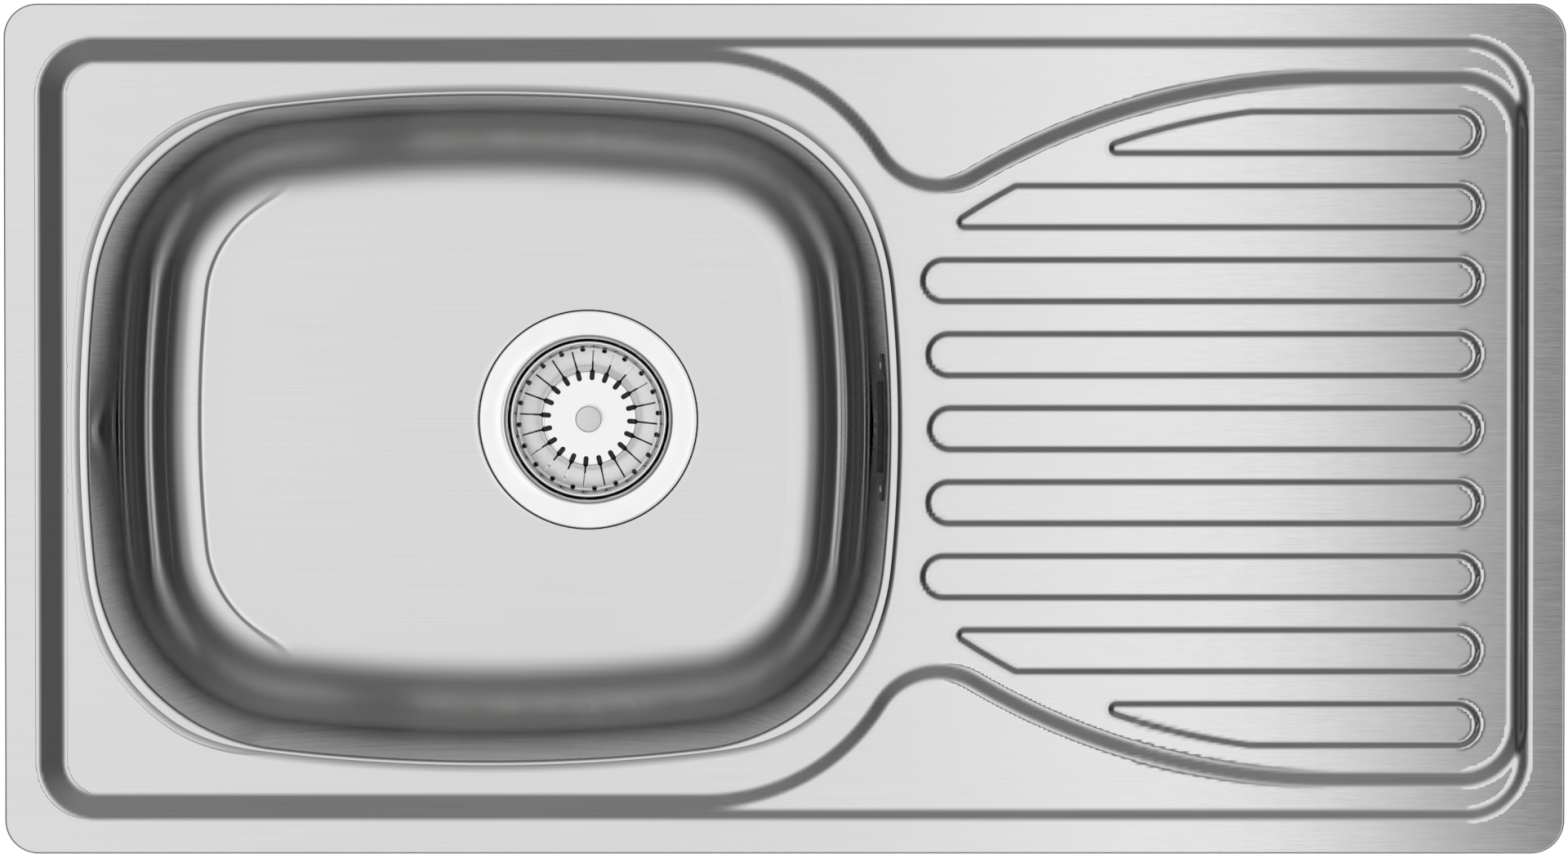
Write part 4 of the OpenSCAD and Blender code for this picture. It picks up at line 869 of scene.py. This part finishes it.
def maths(tree, operation, *sources):
    """The value of a calculation with one or two values."""
    node = tree.nodes.new("ShaderNodeMath")
    node.operation = operation
    for socket, source in zip(node.inputs, sources):
        tree.links.new(source, socket)
    return node.outputs["Value"]


def bumped(tree, height, strength, distance):
    """The surface's normal with a fine relief."""
    bump = tree.nodes.new("ShaderNodeBump")
    bump.inputs["Strength"].default_value = strength
    bump.inputs["Distance"].default_value = distance
    tree.links.new(height, bump.inputs["Height"])
    return bump.outputs["Normal"]


def tint(tree, source, dark, light):
    """A colour between dark and light."""
    ramp_node = tree.nodes.new("ShaderNodeValToRGB")
    ramp_node.color_ramp.elements[0].color = (*dark, 1)
    ramp_node.color_ramp.elements[1].color = (*light, 1)
    tree.links.new(source, ramp_node.inputs["Fac"])
    return ramp_node.outputs["Color"]


# The studio's brightness, by angles in degrees: by the angle from straight up, towards the sides, and the
# same towards the back and front; then the share that is left by the angle towards the drainer, with a
# dark gap; then how strongly that share counts by the angle towards the back or front
CEILING = [(0, 0.83), (20, 0.83), (26, 0.75), (31, 0.66), (36, 0.45), (40, 0.34), (45, 0.27), (50, 0.20),
           (55, 0.10), (60, 0.058), (65, 0.044), (71, 0.036), (77, 0.05), (84, 0.08), (90, 0.12), (100, 0.5),
           (180, 0.5)]
CEILING_BACK = [(0, 0.83), (15, 0.80), (25, 0.65), (31, 0.54), (37, 0.42), (44, 0.31), (50, 0.235),
                (57, 0.165), (63, 0.125), (70, 0.10), (80, 0.09), (90, 0.12), (100, 0.5), (180, 0.5)]
GAP = [(-20, 0.92), (-4, 0.92), (-1.6, 0.885), (0.5, 0.90), (1.0, 0.96), (1.9, 1.05), (2.9, 1.05),
       (3.2, 0.84), (3.4, 0.64), (3.55, 0.48), (3.7, 0.37), (3.85, 0.28), (3.95, 0.18), (4.05, 0.10),
       (6.6, 0.10), (8.0, 0.85), (12, 0.95), (20, 0.97)]
GAP_REACH = [(0, 1), (8, 1), (16, 0.55), (30, 0), (90, 0)]
BESIDE_GAP, STUDIO_STRENGTH = 0.95, 1.27


def brushed_steel(name, sharp, spread, depth):
    """Steel with its grain along X: reflections stay sharp along X and spread along Y. sharp and spread are
    the two widths of the surface's fine slopes, and depth is how strongly single scratches show."""
    material, tree, shader = material_tree(name)
    glossy = tree.nodes.new("ShaderNodeBsdfAnisotropic")
    glossy.distribution = "BECKMANN"
    glossy.inputs["Anisotropy"].default_value = 1 - math.sqrt(sharp / spread)
    rough = math.sqrt(math.sqrt(sharp * spread))
    grain = stretched_noise(tree, 1.0, 3.0, (14.0, 2600.0, 14.0))
    smudge = stretched_noise(tree, 9.0, 3.0, (1.0, 1.6, 1.6))
    colour = tint(tree, ranged(tree, grain.outputs["Fac"], 0.3, 0.7, 0.0, 1.0),
                  (0.72, 0.72, 0.715), (0.77, 0.77, 0.765))
    tree.links.new(colour, glossy.inputs["Color"])
    roughness = maths(tree, "ADD",
                      ranged(tree, grain.outputs["Fac"], 0.3, 0.7, rough - 0.008, rough + 0.012),
                      ranged(tree, smudge.outputs["Fac"], 0.35, 0.7, -0.006, 0.006))
    tree.links.new(roughness, glossy.inputs["Roughness"])
    tree.links.new(bumped(tree, grain.outputs["Fac"], depth, 0.00005), glossy.inputs["Normal"])
    along = tree.nodes.new("ShaderNodeCombineXYZ")
    along.inputs["X"].default_value = 1.0
    tree.links.new(along.outputs["Vector"], glossy.inputs["Tangent"])
    surface = next(n for n in tree.nodes if n.type == "OUTPUT_MATERIAL")
    tree.links.new(glossy.outputs["BSDF"], surface.inputs["Surface"])
    tree.nodes.remove(shader)
    return material


def fine_material(name, dark, light, rough, metal, scale, bump_strength):
    """A plain finish with fine grain in its colour, roughness and surface."""
    material, tree, shader = material_tree(name)
    shader.inputs["Metallic"].default_value = metal
    noise = stretched_noise(tree, scale, 4.0, (1.0, 1.0, 1.0))
    tree.links.new(tint(tree, ranged(tree, noise.outputs["Fac"], 0.3, 0.7, 0.0, 1.0), dark, light),
                   shader.inputs["Base Color"])
    tree.links.new(ranged(tree, noise.outputs["Fac"], 0.3, 0.7, rough[0], rough[1]),
                   shader.inputs["Roughness"])
    tree.links.new(bumped(tree, noise.outputs["Fac"], bump_strength, 0.0001), shader.inputs["Normal"])
    return material


def dress_nodes(finishes):
    """Gives each CAD node the finish of its material slot."""
    for part in frame["record"]["subparts"]:
        piece = nodes[part["node"]]
        piece.data.materials.clear()
        piece.data.materials.append(finishes[part["material_slot"]])


def graded(tree, source, low, high, stops):
    """A grey that follows stops (value, grey) of a value between low and high."""
    fraction = ranged(tree, source, low, high, 0.0, 1.0)
    node = tree.nodes.new("ShaderNodeValToRGB")
    elements = node.color_ramp.elements
    elements[0].position = (stops[0][0] - low) / (high - low)
    elements[1].position = (stops[-1][0] - low) / (high - low)
    for value, _ in stops[1:-1]:
        elements.new((value - low) / (high - low))
    for element, (_, grey) in zip(elements, stops):
        element.color = (grey, grey, grey, 1)
    tree.links.new(fraction, node.inputs["Fac"])
    return node.outputs["Color"]


def add_world():
    """Soft studio light: a bright ceiling that fades towards the horizon, with a dark gap off the middle."""
    world = bpy.data.worlds.new("studio")
    bpy.context.scene.world = world
    world.use_nodes = True
    tree = world.node_tree
    background = tree.nodes["Background"]
    place = tree.nodes.new("ShaderNodeTexCoord")
    split = tree.nodes.new("ShaderNodeSeparateXYZ")
    tree.links.new(place.outputs["Generated"], split.inputs["Vector"])
    degrees = math.radians(1)

    def by_angle(source, low, high, stops):
        return graded(tree, source, low * degrees, high * degrees, [(a * degrees, v) for a, v in stops])

    def mix(share, second):
        """A mix of colours with the share of the second one."""
        node = tree.nodes.new("ShaderNodeMix")
        node.data_type = "RGBA"
        tree.links.new(share, node.inputs[0])
        tree.links.new(second, node.inputs[7])
        return node

    x, y, z = (split.outputs[axis] for axis in "XYZ")
    down = maths(tree, "ARCCOSINE", z)
    # How far the direction points to the back or the front, rather than to a side
    x_squared, y_squared = maths(tree, "MULTIPLY", x, x), maths(tree, "MULTIPLY", y, y)
    share = maths(tree, "DIVIDE", y_squared, maths(tree, "ADD", x_squared, y_squared))
    sky = mix(share, by_angle(down, 0, 180, CEILING_BACK))
    tree.links.new(by_angle(down, 0, 180, CEILING), sky.inputs[6])
    gap = by_angle(maths(tree, "ARCTAN2", x, z), -20, 20, GAP)
    endways = maths(tree, "ABSOLUTE", maths(tree, "ARCSINE", y))
    ends = mix(by_angle(endways, 0, 90, GAP_REACH), gap)
    ends.inputs[6].default_value = (BESIDE_GAP, BESIDE_GAP, BESIDE_GAP, 1)
    both = tree.nodes.new("ShaderNodeVectorMath")
    both.operation = "MULTIPLY"
    tree.links.new(sky.outputs[2], both.inputs[0])
    tree.links.new(ends.outputs[2], both.inputs[1])
    tree.links.new(both.outputs["Vector"], background.inputs["Color"])
    background.inputs["Strength"].default_value = STUDIO_STRENGTH


def add_floor():
    """A plain pale floor, 1 mm below the lowest node, that also gives a little light of its own."""
    mesh = bpy.data.meshes.new("floor")
    size = 6.0
    z = min(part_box(name)[0].z for name in nodes) - 0.001
    mesh.from_pydata([(-size, -size, z), (size, -size, z), (size, size, z), (-size, size, z)], [],
                     [[0, 1, 2, 3]])
    floor = bpy.data.objects.new("floor", mesh)
    bpy.context.scene.collection.objects.link(floor)
    material, tree, shader = material_tree("pale_floor")
    shader.inputs["Base Color"].default_value = (0.9, 0.9, 0.9, 1)
    shader.inputs["Roughness"].default_value = 0.9
    shader.inputs["Emission Color"].default_value = (1, 1, 1, 1)
    shader.inputs["Emission Strength"].default_value = 0.75
    mesh.materials.append(material)


def add_camera():
    """Nearly straight above the sink, a little towards the back."""
    distance, tilt = 5.4, math.radians(1.8)
    data = bpy.data.cameras.new("camera")
    camera = bpy.data.objects.new("camera", data)
    bpy.context.scene.collection.objects.link(camera)
    camera.location = (0, distance * math.tan(tilt), distance)
    camera.rotation_euler = (-tilt, 0, 0)
    pixels_per_metre, width = 2451.3, 1920
    data.sensor_width = 36
    data.lens = data.sensor_width * distance / math.cos(tilt) * pixels_per_metre / width
    data.shift_x = -1 / width
    data.clip_end = 50
    bpy.context.scene.camera = camera


bpy.context.scene.view_settings.view_transform = "Standard"
FINISHES = {
    "steel": brushed_steel("brushed_steel", 0.003, 0.12, 0.2),
    "polished": fine_material("polished_steel", (0.92, 0.92, 0.92), (0.96, 0.96, 0.96), (0.06, 0.10), 1.0,
                              60.0, 0.02),
    "foam": fine_material("foam", (0.05, 0.05, 0.05), (0.11, 0.11, 0.11), (0.8, 0.95), 0.0, 900.0, 0.5),
    "pad": fine_material("damping_pad", (0.13, 0.14, 0.15), (0.19, 0.20, 0.21), (0.6, 0.8), 0.0, 300.0, 0.4),
    "rubber": fine_material("rubber", (0.03, 0.03, 0.03), (0.07, 0.07, 0.07), (0.5, 0.7), 0.0, 400.0, 0.2),
    "plastic": fine_material("dark_plastic", (0.11, 0.115, 0.12), (0.15, 0.155, 0.16), (0.35, 0.5), 0.0,
                             700.0, 0.15),
    "zinc": fine_material("zinc_plate", (0.56, 0.57, 0.58), (0.68, 0.69, 0.70), (0.28, 0.42), 1.0, 180.0,
                          0.1),
}
dress_nodes(FINISHES)
make_deck(FINISHES["steel"])
make_bowl(brushed_steel("drawn_steel", 0.003, 0.13, 0.05))
make_cup(FINISHES["polished"])
make_basket(fine_material("pressed_steel", (0.95, 0.95, 0.95), (0.98, 0.98, 0.98), (0.13, 0.17), 1.0, 60.0,
                          0.02))
make_knob(FINISHES["polished"], fine_material("satin_steel", (0.74, 0.74, 0.74), (0.79, 0.79, 0.79),
                                              (0.25, 0.33), 1.0, 300.0, 0.1))
add_world()
add_floor()
add_camera()

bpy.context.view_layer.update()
